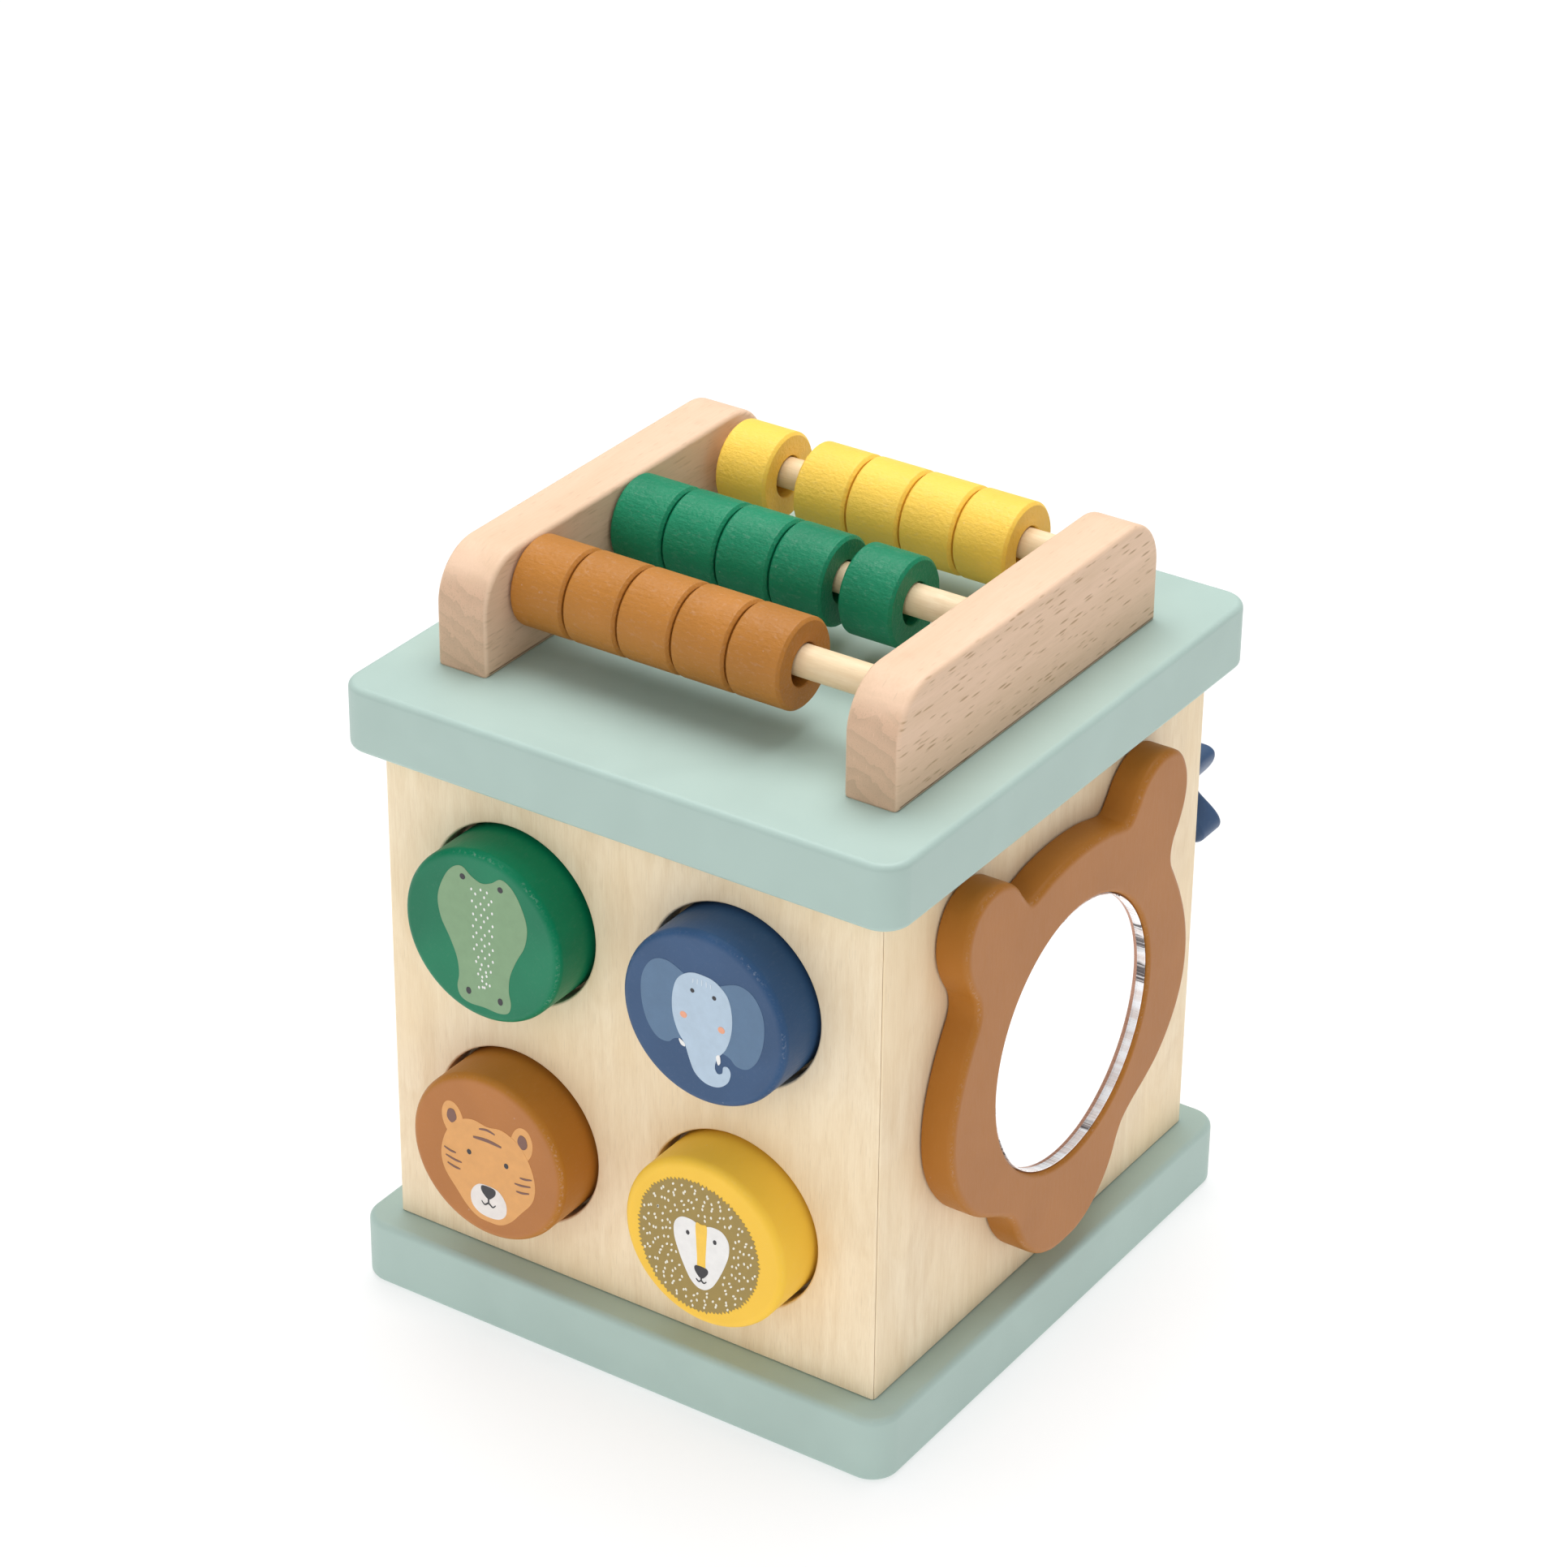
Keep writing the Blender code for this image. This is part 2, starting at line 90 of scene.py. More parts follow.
def filleted(corners, steps):
    """A profile from (radius, depth, bend) corners, each rounded by its own bend."""
    profile = []
    for k, (radius, depth, bend) in enumerate(corners):
        if bend <= 0 or k in (0, len(corners) - 1):
            profile.append((radius, depth, 0.0))
            continue
        corner = Vector((radius, depth))
        before = (Vector(corners[k - 1][:2]) - corner).normalized()
        after = (Vector(corners[k + 1][:2]) - corner).normalized()
        half = acos(max(-1, min(1, before.dot(after)))) / 2
        centre = corner + (before + after).normalized() * (bend / sin(half))
        start = corner + before * (bend / tan(half)) - centre
        end = corner + after * (bend / tan(half)) - centre
        turn = start.angle_signed(end)
        for i in range(steps + 1):
            angle = -turn * i / steps      # angle_signed is clockwise-positive in 2D
            x = start.x * cos(angle) - start.y * sin(angle) + centre.x
            y = start.x * sin(angle) + start.y * cos(angle) + centre.y
            profile.append((x, y, sin(pi * i / steps)))
    return profile


def catmull_rom(before, start, end, after, t):
    """Point at t (0 to 1) on the smooth curve from start to end."""
    return tuple(
        0.5 * (2 * b + (c - a) * t + (2 * a - 5 * b + 4 * c - d) * t * t
               + (3 * b - a - 3 * c + d) * t ** 3)
        for a, b, c, d in zip(before, start, end, after))


def spline(points, steps):
    """Closed smooth outline through the points."""
    count = len(points)
    return [catmull_rom(*(points[(k + d) % count] for d in (-1, 0, 1, 2)), j / steps)
            for k in range(count) for j in range(steps)]


def symmetric(half, centre, steps):
    """Smooth outline from its right half of (offset, z), first and last points on the axis."""
    right = [(centre + offset, z) for offset, z in half]
    left = [(centre - offset, z) for offset, z in reversed(half[1:-1])]
    return spline(right + left, steps)


def outline_normals(points):
    """Outward unit normals at the points of an outline."""
    count = len(points)
    area = sum(points[k][0] * points[(k + 1) % count][1] - points[(k + 1) % count][0] * points[k][1]
               for k in range(count))
    sign = 1 if area > 0 else -1
    normals = []
    for k in range(count):
        total = Vector((0, 0))
        for a, b in ((points[k - 1], points[k]), (points[k], points[(k + 1) % count])):
            edge = Vector((b[0] - a[0], b[1] - a[1]))
            if edge.length < 1e-9:
                continue
            edge.normalize()
            total += Vector((edge.y, -edge.x)) * sign
        normals.append(total.normalized())
    return normals


# ------------------------------------------------------------------ meshes
def add_prism(bm, outline, start, end, axis):
    near, far = ([bm.verts.new(PLACE[axis](*point, depth)) for point in outline]
                 for depth in (start, end))
    bm.faces.new(near)
    bm.faces.new(far)
    for i in range(len(outline)):
        j = (i + 1) % len(outline)
        bm.faces.new((near[i], near[j], far[j], far[i]))


def skin(rings, wear_and_highlight=None, close=False):
    """Skin rings of points, with one edge mark per ring, for worn paint and a painted highlight
    line. Open ends are capped.
    """
    bm = bmesh.new()
    layer = bm.verts.layers.float.new("wear_and_highlight")
    rows = []
    for k, ring in enumerate(rings):
        row = []
        for point in ring:
            vert = bm.verts.new(point)
            vert[layer] = wear_and_highlight[k] if wear_and_highlight else 0.0
            row.append(vert)
        rows.append(row)
    pairs = list(zip(rows, rows[1:]))
    if close:
        pairs.append((rows[-1], rows[0]))
    for a, b in pairs:
        if len(a) == 1 and len(b) == 1:
            continue
        count = max(len(a), len(b))
        for i in range(count):
            j = (i + 1) % count
            if len(a) == 1:
                bm.faces.new((a[0], b[i], b[j]))
            elif len(b) == 1:
                bm.faces.new((a[i], b[0], a[j]))
            else:
                bm.faces.new((a[i], b[i], b[j], a[j]))
    if not close:
        for row in (rows[0], rows[-1]):
            if len(row) > 1:
                bm.faces.new(row)
    return bm


def lathe(profile, axis, centre, segments, close=False):
    """Turn a profile about an axis through centre (across, up)."""
    rings = []
    for radius, depth, _ in profile:
        if radius < 1e-7:
            points = [centre]
        else:
            angles = (2 * pi * k / segments for k in range(segments))
            points = [(centre[0] + radius * cos(a), centre[1] + radius * sin(a)) for a in angles]
        rings.append([PLACE[axis](*point, depth) for point in points])
    return skin(rings, [wear_and_highlight for _, _, wear_and_highlight in profile], close)


def slab(outline, start, end, axis, start_round, end_round, steps, hole=None):
    """Board from start to end with rounded edges.

    hole is (across, up, profile), the profile going in from the end face. It is a through hole
    when the profile finishes at start.
    """
    normals = outline_normals(outline)
    way = 1 if end > start else -1
    profile = []      # (inset, depth, edge mark for worn paint and a painted highlight line)
    for i in range(steps + 1):
        angle = radians(90 * i / steps)
        profile.append((start_round * (1 - sin(angle)),
                        start + way * start_round * (1 - cos(angle)), sin(2 * angle)))
    for i in range(steps + 1):
        angle = radians(90 * i / steps)
        profile.append((end_round * (1 - cos(angle)),
                        end - way * end_round * (1 - sin(angle)), sin(2 * angle)))
    rings = [[PLACE[axis](x - normal.x * inset, y - normal.y * inset, depth)
              for (x, y), normal in zip(outline, normals)] for inset, depth, _ in profile]
    wear_and_highlight = [entry[2] for entry in profile]
    through = False
    if hole:
        across, up, inside = hole
        angles = [atan2(y - up, x - across) for x, y in outline]
        for radius, depth, ring_wear_and_highlight in inside:
            rings.append([PLACE[axis](across + radius * cos(a), up + radius * sin(a), depth)
                          for a in angles])
            wear_and_highlight.append(ring_wear_and_highlight)
        through = abs(inside[-1][1] - start) < 1e-9
    return skin(rings, wear_and_highlight, close=through)


# ------------------------------------------------------------------ objects
def add_object(name, data):
    ob = bpy.data.objects.new(name, data)
    bpy.context.collection.objects.link(ob)
    return ob


def piece(name, bm, material, body="frame", replaces=None, sharp=None, tone=None):
    """Object from a bmesh. sharp is the smooth shading limit, tone shifts its textures."""
    bmesh.ops.recalc_face_normals(bm, faces=bm.faces)
    if bm.calc_volume(signed=True) < 0:
        bmesh.ops.reverse_faces(bm, faces=bm.faces)
    mesh = bpy.data.meshes.new(name)
    bm.to_mesh(mesh)
    bm.free()
    ob = add_object(name, mesh)
    if material is not None:
        mesh.materials.append(material)
    if sharp:
        mesh.shade_smooth()
        mesh.set_sharp_from_angle(angle=radians(sharp))
    if body:
        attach(ob, body)
    if replaces:
        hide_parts(replaces)
    if tone is not None:
        ob["tone"] = tone
    return ob


def even_shading(ob):
    modifier = ob.modifiers.new("even_shading", "WEIGHTED_NORMAL")
    modifier.keep_sharp = True
    modifier.weight = 90


def cutter(name, profile, axis, centre, segments):
    return piece(name, lathe(profile, axis, centre, segments), None, body=None)


def cylinder(radius, start, end):
    """Profile of a plain solid cylinder."""
    return [(0, start, 0), (radius, start, 0), (radius, end, 0), (0, end, 0)]


def cut(ob, cutters):
    """Cut the cutters out of the object, bake the result and remove them."""
    for tool in cutters:
        modifier = ob.modifiers.new("cut", "BOOLEAN")
        modifier.operation = "DIFFERENCE"
        modifier.solver = "EXACT"
        modifier.object = tool
    graph = bpy.context.evaluated_depsgraph_get()
    mesh = bpy.data.meshes.new_from_object(ob.evaluated_get(graph))
    ob.modifiers.clear()
    ob.data = mesh
    for tool in cutters:
        bpy.data.objects.remove(tool)
    mesh.shade_smooth()
    mesh.set_sharp_from_angle(angle=radians(35))


def recoat(node, material):
    """Give a frame node that stays in place its only material."""
    materials = frame["nodes"][node].data.materials
    materials.clear()
    materials.append(material)


# ------------------------------------------------------------------ shader nodes
class Net:
    """A node tree with short calls that add nodes. Texture sizes are in millimetres."""

    def __init__(self, tree):
        self.tree = tree

    def fill(self, node, inputs):
        for key, value in inputs.items():
            if isinstance(value, bpy.types.NodeSocket):
                self.tree.links.new(value, node.inputs[key])
            else:
                node.inputs[key].default_value = value

    def surface(self, inputs):
        self.fill(self.tree.nodes["Principled BSDF"], inputs)

    def node(self, kind, inputs=None, **settings):
        node = self.tree.nodes.new(kind)
        for key, value in settings.items():
            setattr(node, key, value)
        self.fill(node, inputs or {})
        return node

    def math(self, operation, a, b=0.0):
        return self.node("ShaderNodeMath", {0: a, 1: b, 2: 0.0}, operation=operation).outputs[0]

    def plus(self, a, b):
        return self.math("ADD", a, b)

    def minus(self, a, b):
        return self.math("SUBTRACT", a, b)

    def times(self, a, b):
        return self.math("MULTIPLY", a, b)

    def vector(self, operation, a, b):
        return self.node("ShaderNodeVectorMath", {0: a, 1: b}, operation=operation).outputs[0]

    def split(self, vector):
        return self.node("ShaderNodeSeparateXYZ", {0: vector}).outputs

    def coordinate(self, kind):
        return self.node("ShaderNodeTexCoord").outputs[kind]

    def ray(self, kind):
        return self.node("ShaderNodeLightPath").outputs[kind]

    def mix(self, factor, a, b):
        """Colour from a to b. Each is a socket or an (r, g, b)."""
        a, b = (c if isinstance(c, bpy.types.NodeSocket) else (*c, 1.0) for c in (a, b))
        return self.node("ShaderNodeMix", {0: factor, 6: a, 7: b}, data_type="RGBA").outputs[2]

    def ramp(self, value, over=(0, 1), to=(0.0, 1.0)):
        return self.node("ShaderNodeMapRange", {
            "Value": value, "From Min": over[0], "From Max": over[1],
            "To Min": to[0], "To Max": to[1]}).outputs[0]

    def texture_space(self, size, shift):
        """Object coordinates in units of size, moved by the object's tone and by shift."""
        place = self.coordinate("Object")
        tone = self.node("ShaderNodeAttribute", attribute_type="OBJECT", attribute_name="tone")
        offset = self.vector("MULTIPLY", tone.outputs["Vector"], (0.37, 0.53, 0.29))
        sizes = size if isinstance(size, tuple) else (size,) * 3
        scaled = self.vector("MULTIPLY", self.vector("ADD", place, offset),
                             tuple(1 / MM / s for s in sizes))
        return self.vector("ADD", scaled, shift)

    def noise(self, size, detail=2.0, rough=0.5, distort=0.0, shift=(0, 0, 0)):
        return self.node("ShaderNodeTexNoise", {
            "Vector": self.texture_space(size, shift), "Scale": 1.0, "Detail": detail,
            "Roughness": rough, "Distortion": distort}).outputs[0]

    def flecks(self, size, radius, shift=(0, 0, 0), soft=0.12):
        """Scattered spots of random strength. radius and soft are parts of a cell."""
        cells = self.node("ShaderNodeTexVoronoi", {
            "Vector": self.texture_space(size, shift), "Scale": 1.0, "Randomness": 1.0}).outputs
        mask = self.ramp(cells["Distance"], over=(radius - soft, radius), to=(1.0, 0.0))
        strength = self.node("ShaderNodeSeparateColor", {0: cells["Color"]}).outputs[0]
        return self.times(mask, strength)

    def bump(self, height, strength, distance, after=None):
        inputs = {"Height": height, "Strength": strength, "Distance": distance * MM}
        if after is not None:
            inputs["Normal"] = after
        return self.node("ShaderNodeBump", inputs).outputs[0]


def new_material(name):
    material = bpy.data.materials.new(name)
    material.use_nodes = True
    return material, Net(material.node_tree)


def grained(axis, length, width):
    """Texture size that is long along the grain axis."""
    return tuple(length if a == axis else width for a in "xyz")


def tint(colour, gain, lift=0.0):
    return tuple(min(1.0, channel * gain + lift) for channel in colour)


def toned(colour, gains):
    return tuple(channel * gain for channel, gain in zip(colour, gains))


def srgb(*levels):
    """Linear colour from 0 to 255 sRGB levels."""
    return tuple(c / 12.92 if c <= 0.04045 else ((c + 0.055) / 1.055) ** 2.4
                 for c in (level / 255 for level in levels))


# ------------------------------------------------------------------ wood
def plywood(name, light, dark, axis="z", rough=0.5, specular=0.35):
    """Pale wood: soft bands, fibres, warm blotches and dark pores along the grain axis."""
    material, net = new_material(name)
    band = net.noise(grained(axis, 110, 9), detail=3, rough=0.6, distort=2.2)
    wave = net.noise(grained(axis, 50, 18), detail=3, rough=0.55, distort=3.0, shift=(3, 7, 1))
    fibre = net.noise(grained(axis, 9, 0.5), detail=3, rough=0.65, distort=0.3)
    blotch = net.noise((45, 45, 60), distort=0.5, shift=(9, 2, 4))
    hair = net.noise(grained(axis, 3.0, 0.28), rough=0.7, distort=0.2, shift=(5, 5, 2))
    pore = net.flecks(grained(axis, 7.0, 0.55), radius=0.30, shift=(1, 5, 2))

    shade = net.plus(net.ramp(band, over=(0.36, 0.66), to=(0, 0.45)),
                     net.ramp(wave, over=(0.4, 0.7), to=(0, 0.45)))
    shade = net.plus(shade, net.ramp(fibre, over=(0.3, 0.7), to=(-0.16, 0.22)))
    shade = net.plus(shade, net.ramp(hair, over=(0.3, 0.7), to=(-0.14, 0.16)))
    colour = net.mix(shade, light, dark)
    warm = toned(light, gains=(1.0, 0.93, 0.80))
    colour = net.mix(net.ramp(blotch, over=(0.42, 0.68), to=(0, 0.45)), colour, warm)
    colour = net.mix(net.times(pore, 0.22), colour, tint(dark, gain=0.72))
    height = net.minus(fibre, net.times(pore, 0.6))
    net.surface({
        "Base Color": colour,
        "Roughness": net.ramp(fibre, over=(0.3, 0.7), to=(rough - 0.05, rough + 0.08)),
        "Specular IOR Level": specular,
        "Normal": net.bump(height, strength=0.28, distance=0.06)})
    return material


def beech(name, light, dark, fleck_colour):
    """Beech with its grain along Y: ray flecks on the side faces, rings on the ends."""
    material, net = new_material(name)
    coordinates = net.node("ShaderNodeTexCoord").outputs
    side, end_face, top = (net.math("ABSOLUTE", part)
                           for part in net.split(coordinates["Normal"]))
    band = net.noise((14, 110, 7), detail=3, rough=0.55, distort=1.0)
    fibre = net.noise((0.5, 9, 0.4), rough=0.6)
    shade = net.plus(net.ramp(band, over=(0.35, 0.68), to=(0, 0.6)),
                     net.ramp(fibre, over=(0.3, 0.7), to=(-0.1, 0.2)))
    colour = net.mix(shade, light, dark)

    # rays: short sheets, seen as flecks from the side
    large = net.flecks((9, 8.2, 1.2), radius=0.33, shift=(2, 3, 8), soft=0.18)
    small = net.flecks((8, 6.4, 1.05), radius=0.30, shift=(5, 1, 3), soft=0.18)
    rays = net.times(net.math("MAXIMUM", large, net.times(small, 0.8)),
                     net.ramp(side, over=(0.3, 0.9), to=(0.10, 1.0)))
    rays = net.times(rays, net.ramp(end_face, over=(0.5, 0.95), to=(1.0, 0.0)))
    colour = net.mix(net.times(rays, 0.95), colour, fleck_colour)

    # short dark strokes on the top faces
    strokes = net.times(net.flecks((1.1, 6.0, 9), radius=0.26, shift=(4, 2, 1)),
                        net.ramp(top, over=(0.5, 0.95), to=(0.0, 0.55)))
    colour = net.mix(strokes, colour, tint(dark, gain=0.82))

    # end grain: slanting growth rings, crossed by fine rays
    wobble = net.noise((11, 40, 11), detail=3, rough=0.55, distort=0.8, shift=(6, 6, 6))
    place = net.split(coordinates["Object"])
    ring_height, ring_width = 5.2, 12.0      # spacing along Z and along X
    slant = net.plus(net.times(place[2], 1 / MM / ring_height),
                     net.times(place[0], 1 / MM / ring_width))
    ring = net.math("FRACT", net.plus(slant, net.times(wobble, 2.4)))
    end = net.mix(net.times(net.ramp(ring, over=(0.35, 1.0)), 0.40),
                  toned(dark, gains=(0.98, 0.93, 0.95)), tint(dark, gain=0.62))
    end_rays = net.flecks((0.55, 40, 5.0), radius=0.24, shift=(7, 7, 7))
    end = net.mix(net.times(end_rays, 0.30), end, tint(light, gain=1.15))
    pores = net.noise((0.35, 8, 0.35), detail=1)
    end = net.mix(net.ramp(pores, over=(0.55, 0.75), to=(0, 0.35)), end, tint(dark, gain=0.5))
    colour = net.mix(net.ramp(end_face, over=(0.72, 0.93), to=(0.0, 0.9)), colour, end)

    height = net.minus(fibre, net.times(rays, 0.8))
    net.surface({
        "Base Color": colour,
        "Roughness": net.ramp(fibre, over=(0.3, 0.7), to=(0.46, 0.60)),
        "Specular IOR Level": 0.28,
        "Normal": net.bump(height, strength=0.30, distance=0.08)})
    return material


# ------------------------------------------------------------------ paint and ink
def paint(name, colour, axis, rough, grain, vary, edge_wear_and_highlight=0.55, speck=0.35, specular=0.5, painted_reflection_veil=None):
    """Satin paint over wood: soft tone changes, grain showing through, painted sheen patches and
    pale edges that are partly worn paint and partly a painted highlight line.

    grain is the strength of the wood grain and of the painted sheen, vary of the tone changes, the
    edge argument of the worn paint and painted highlight on the edges, and speck of the pale
    specks.
    The last argument is (axis, colour added to the flat faces across that axis), a painted
    reflection veil.
    """
    material, net = new_material(name)
    deep = tint(colour, gain=1 - vary * 1.6)
    light = tint(colour, gain=1 + vary, lift=0.004)
    painted_sheen_colour = tint(colour, gain=0.7, lift=0.22)
    pale = tint(colour, gain=0.6, lift=0.30)

    tone = net.noise(26, distort=0.4)
    shade = net.mix(net.ramp(tone, over=(0.32, 0.7)), deep, light)
    fibre = net.noise(grained(axis, 4.2, 0.55), detail=3, rough=0.7, distort=0.6)
    band = net.noise(grained(axis, 26, 2.2), rough=0.55, distort=0.8, shift=(4, 4, 4))
    sheen = net.noise(grained(axis, 2.4, 0.95), detail=3, rough=0.75, distort=0.4,
                      shift=(8, 3, 1))
    shade = net.mix(net.ramp(fibre, over=(0.58, 0.78), to=(0, 0.22 + 0.25 * grain)), shade, light)
    shade = net.mix(net.ramp(band, over=(0.56, 0.72), to=(0, 0.12 * grain)), shade, deep)
    # painted sheen: pale patches along the grain that stand in for the broken-up highlights of the
    # satin paint
    shade = net.mix(net.ramp(sheen, over=(0.55, 0.70), to=(0, 0.13 * grain)), shade, painted_sheen_colour)

    # worn paint and a painted pale highlight line on the edges, broken up finely and gated in wide
    # patches
    wear_and_highlight = net.node("ShaderNodeAttribute", attribute_name="wear_and_highlight").outputs["Fac"]
    breaks = net.noise(0.9, detail=3, rough=0.75, shift=(1, 2, 3))
    gate = net.noise(11, shift=(5, 2, 9))
    edge = net.ramp(wear_and_highlight, over=(0.80, 1.0))
    rubbed_and_highlit_edge = net.times(net.times(edge, net.ramp(breaks, over=(0.50, 0.66))), edge_wear_and_highlight)
    rubbed_and_highlit_edge = net.times(rubbed_and_highlit_edge, net.ramp(gate, over=(0.46, 0.66), to=(0.12, 1.0)))
    shade = net.mix(rubbed_and_highlit_edge, shade, pale)
    dust = net.flecks(5.5, radius=0.055, shift=(2, 8, 5), soft=0.02)
    shade = net.mix(net.times(dust, speck), shade, pale)
    # painted reflection veil: colour added to the flat faces across one axis, standing in for the
    # bright floor reflected in the faces that look at the camera
    if painted_reflection_veil:
        across, reflection_veil_colour = painted_reflection_veil
        facing = net.split(net.coordinate("Normal"))["xyz".index(across)]
        flat = net.ramp(net.math("ABSOLUTE", facing), over=(0.80, 0.99))
        veil = net.node("ShaderNodeVectorMath", {0: reflection_veil_colour, "Scale": flat},
                        operation="SCALE")
        shade = net.vector("ADD", shade, veil.outputs[0])

    gloss = net.ramp(fibre, over=(0.25, 0.75), to=(rough - 0.05, rough + 0.09))
    peel = net.noise(1.1, detail=1, shift=(6, 1, 7))
    grain_bump = net.bump(net.plus(fibre, net.times(band, 0.8)),
                          strength=min(1.0, 0.5 * grain), distance=0.06 + 0.05 * grain)
    net.surface({
        "Base Color": shade,
        "Roughness": net.plus(gloss, net.times(rubbed_and_highlit_edge, 0.15)),
        "Specular IOR Level": specular,
        "Normal": net.bump(net.plus(peel, net.times(sheen, 0.5)),
                           strength=min(1.0, 0.10 + 0.35 * grain),
                           distance=0.05 + 0.10 * grain ** 2, after=grain_bump)})
    return material


def ink(name, colour, rough=0.42):
    material, net = new_material(name)
    cloud = net.noise(3.0, detail=3, rough=0.6)
    fine = net.noise(0.45, detail=1)
    net.surface({
        "Base Color": net.mix(net.ramp(cloud, over=(0.3, 0.75)),
                              tint(colour, gain=0.95), tint(colour, gain=1.04)),
        "Roughness": net.ramp(fine, over=(0.3, 0.7), to=(rough - 0.04, rough + 0.08)),
        "Normal": net.bump(fine, strength=0.12, distance=0.03)})
    return material


def paint_pair(name, disc, bead, rough, vary, edge_wear_and_highlight=0.55, painted_reflection_veil=(0, 0, 0)):
    """One paint for turned beads (key "x", grain along X) and for discs (key "y", with a painted
    reflection veil on its flat faces).
    """
    return {
        "x": paint(name + "_paint_x", bead, "x", rough=rough + 0.10, grain=1.5, vary=vary,
                   edge_wear_and_highlight=edge_wear_and_highlight, specular=0.38),
        "y": paint(name + "_paint_y", disc, "y", rough=rough + 0.04, grain=0.4, vary=vary,
                   edge_wear_and_highlight=edge_wear_and_highlight, specular=0.12, painted_reflection_veil=("y", painted_reflection_veil))}


# ------------------------------------------------------------------ metal and mirror
SILVER_DEPTH = 1.7 * MM                      # the silver looks this deep in the clear sheet
EDGE_X = span("mirror")[1].x - 1.0 * MM      # beyond here the cut edge gets a painted reflection of the board's rim


def steel():
    material, net = new_material("spring_wire_steel")
    cloud = net.noise((0.8, 3.0, 0.8), rough=0.6)
    net.surface({
        "Base Color": net.mix(net.ramp(cloud, over=(0.3, 0.7)),
                              (0.50, 0.50, 0.49), (0.66, 0.66, 0.65)),
        "Metallic": 1.0,
        "Roughness": net.ramp(cloud, over=(0.3, 0.7), to=(0.22, 0.36))})
    return material


def silver():
    material, net = new_material("mirror_silver")
    cloud = net.noise(30)
    net.surface({
        "Base Color": net.mix(net.ramp(cloud, over=(0.3, 0.7)),
                              (0.86, 0.862, 0.872), (0.88, 0.882, 0.89)),
        "Metallic": 1.0,
        "Roughness": net.ramp(cloud, over=(0.3, 0.7), to=(0.02, 0.035))})
    return material


def cut_edge():
    """Opaque edge of a clear mirror sheet, painted with light and shade: bright and dark streaks
    across its thickness and a faint glow.
    """
    material, net = new_material("mirror_cut_edge")
    streak = net.noise((60, 0.7, 0.7), rough=0.7)
    wide = net.noise((60, 9.0, 9.0), detail=1, distort=0.3, shift=(3, 1, 4))
    painted_board_reflection = net.noise((60, 2.6, 2.6), detail=1, shift=(1, 6, 2))
    # painted shade: a mask of dark streaks across the thickness, gated in wide patches
    dark = net.times(net.ramp(streak, over=(0.42, 0.52), to=(0.25, 1.0)),
                     net.ramp(wide, over=(0.59, 0.62)))
    # painted light and reflection: a bright white edge with pink patches that stand in for the
    # brown board
    colour = net.mix(net.ramp(painted_board_reflection, over=(0.40, 0.62)), (0.95, 0.95, 0.96), (0.80, 0.72, 0.69))
    colour = net.mix(dark, colour, (0.10, 0.085, 0.085))
    # painted reflection of the board's rim: brown beyond EDGE_X, in glossy rays only
    depth = net.split(net.coordinate("Object"))[0]
    near = net.times(net.math("GREATER_THAN", depth, EDGE_X), net.ray("Is Glossy Ray"))
    colour = net.mix(near, colour, (0.50, 0.26, 0.17))
    # the emission is a painted glow of the edge
    net.surface({
        "Emission Color": colour,
        "Emission Strength": 0.22,
        "Base Color": colour,
        "Metallic": 0.2,
        "Roughness": net.ramp(streak, over=(0.3, 0.7), to=(0.15, 0.4))})
    return material


# ------------------------------------------------------------------ the materials
GREEN = (0.0, 0.190, 0.084)
NAVY = (0.034, 0.088, 0.196)
BROWN = (0.458, 0.180, 0.024)
YELLOW = (0.930, 0.575, 0.062)

mint_paint = paint("mint_painted_wood", (0.400, 0.528, 0.482), "x", rough=0.48, grain=0.25,
                   vary=0.02, edge_wear_and_highlight=0.35, speck=0.25)
outer_ply = plywood("pale_plywood", light=(0.935, 0.785, 0.565), dark=(0.81, 0.635, 0.415))
inner_ply = plywood("inner_plywood", light=(0.72, 0.56, 0.36), dark=(0.58, 0.42, 0.25), axis="x")
beech_wood = beech("beech", light=(0.80, 0.565, 0.405), dark=(0.68, 0.475, 0.315),
                   fleck_colour=(0.45, 0.285, 0.160))
rod_wood = plywood("turned_rod_wood", light=(0.86, 0.70, 0.48), dark=(0.70, 0.51, 0.30),
                   axis="x", rough=0.45, specular=0.4)
stem_wood = plywood("turned_stem_wood", light=(0.84, 0.68, 0.46), dark=(0.70, 0.52, 0.31),
                    axis="y", specular=0.4)
# the green and yellow bead paints are lighter copies of their disc paints: painted light for the
# extra light that reaches the beads
paints = {
    "green": paint_pair("green", disc=GREEN, bead=(0.0, 0.225, 0.105), rough=0.36, vary=0.08,
                        painted_reflection_veil=(0.024, 0.012, 0.022)),
    "navy": paint_pair("navy", disc=NAVY, bead=NAVY, rough=0.36, vary=0.07,
                       painted_reflection_veil=(0.024, 0.020, 0.014)),
    "brown": paint_pair("brown", disc=BROWN, bead=BROWN, rough=0.38, vary=0.05,
                        painted_reflection_veil=(0.010, 0.012, 0.040)),
    "yellow": paint_pair("yellow", disc=YELLOW, bead=(0.95, 0.605, 0.082), rough=0.38, vary=0.03,
                         edge_wear_and_highlight=0.4, painted_reflection_veil=(0.0, 0.0, 0.012)),
}
gear_paints = {
    "navy": paint("navy_gear_paint", (0.052, 0.105, 0.215), "y", rough=0.40, grain=0.4,
                  vary=0.07, specular=0.4),
    "yellow": paints["yellow"]["y"],
    "green": paint("green_gear_paint", (0.004, 0.200, 0.092), "y", rough=0.40, grain=0.4,
                   vary=0.08, specular=0.35),
}
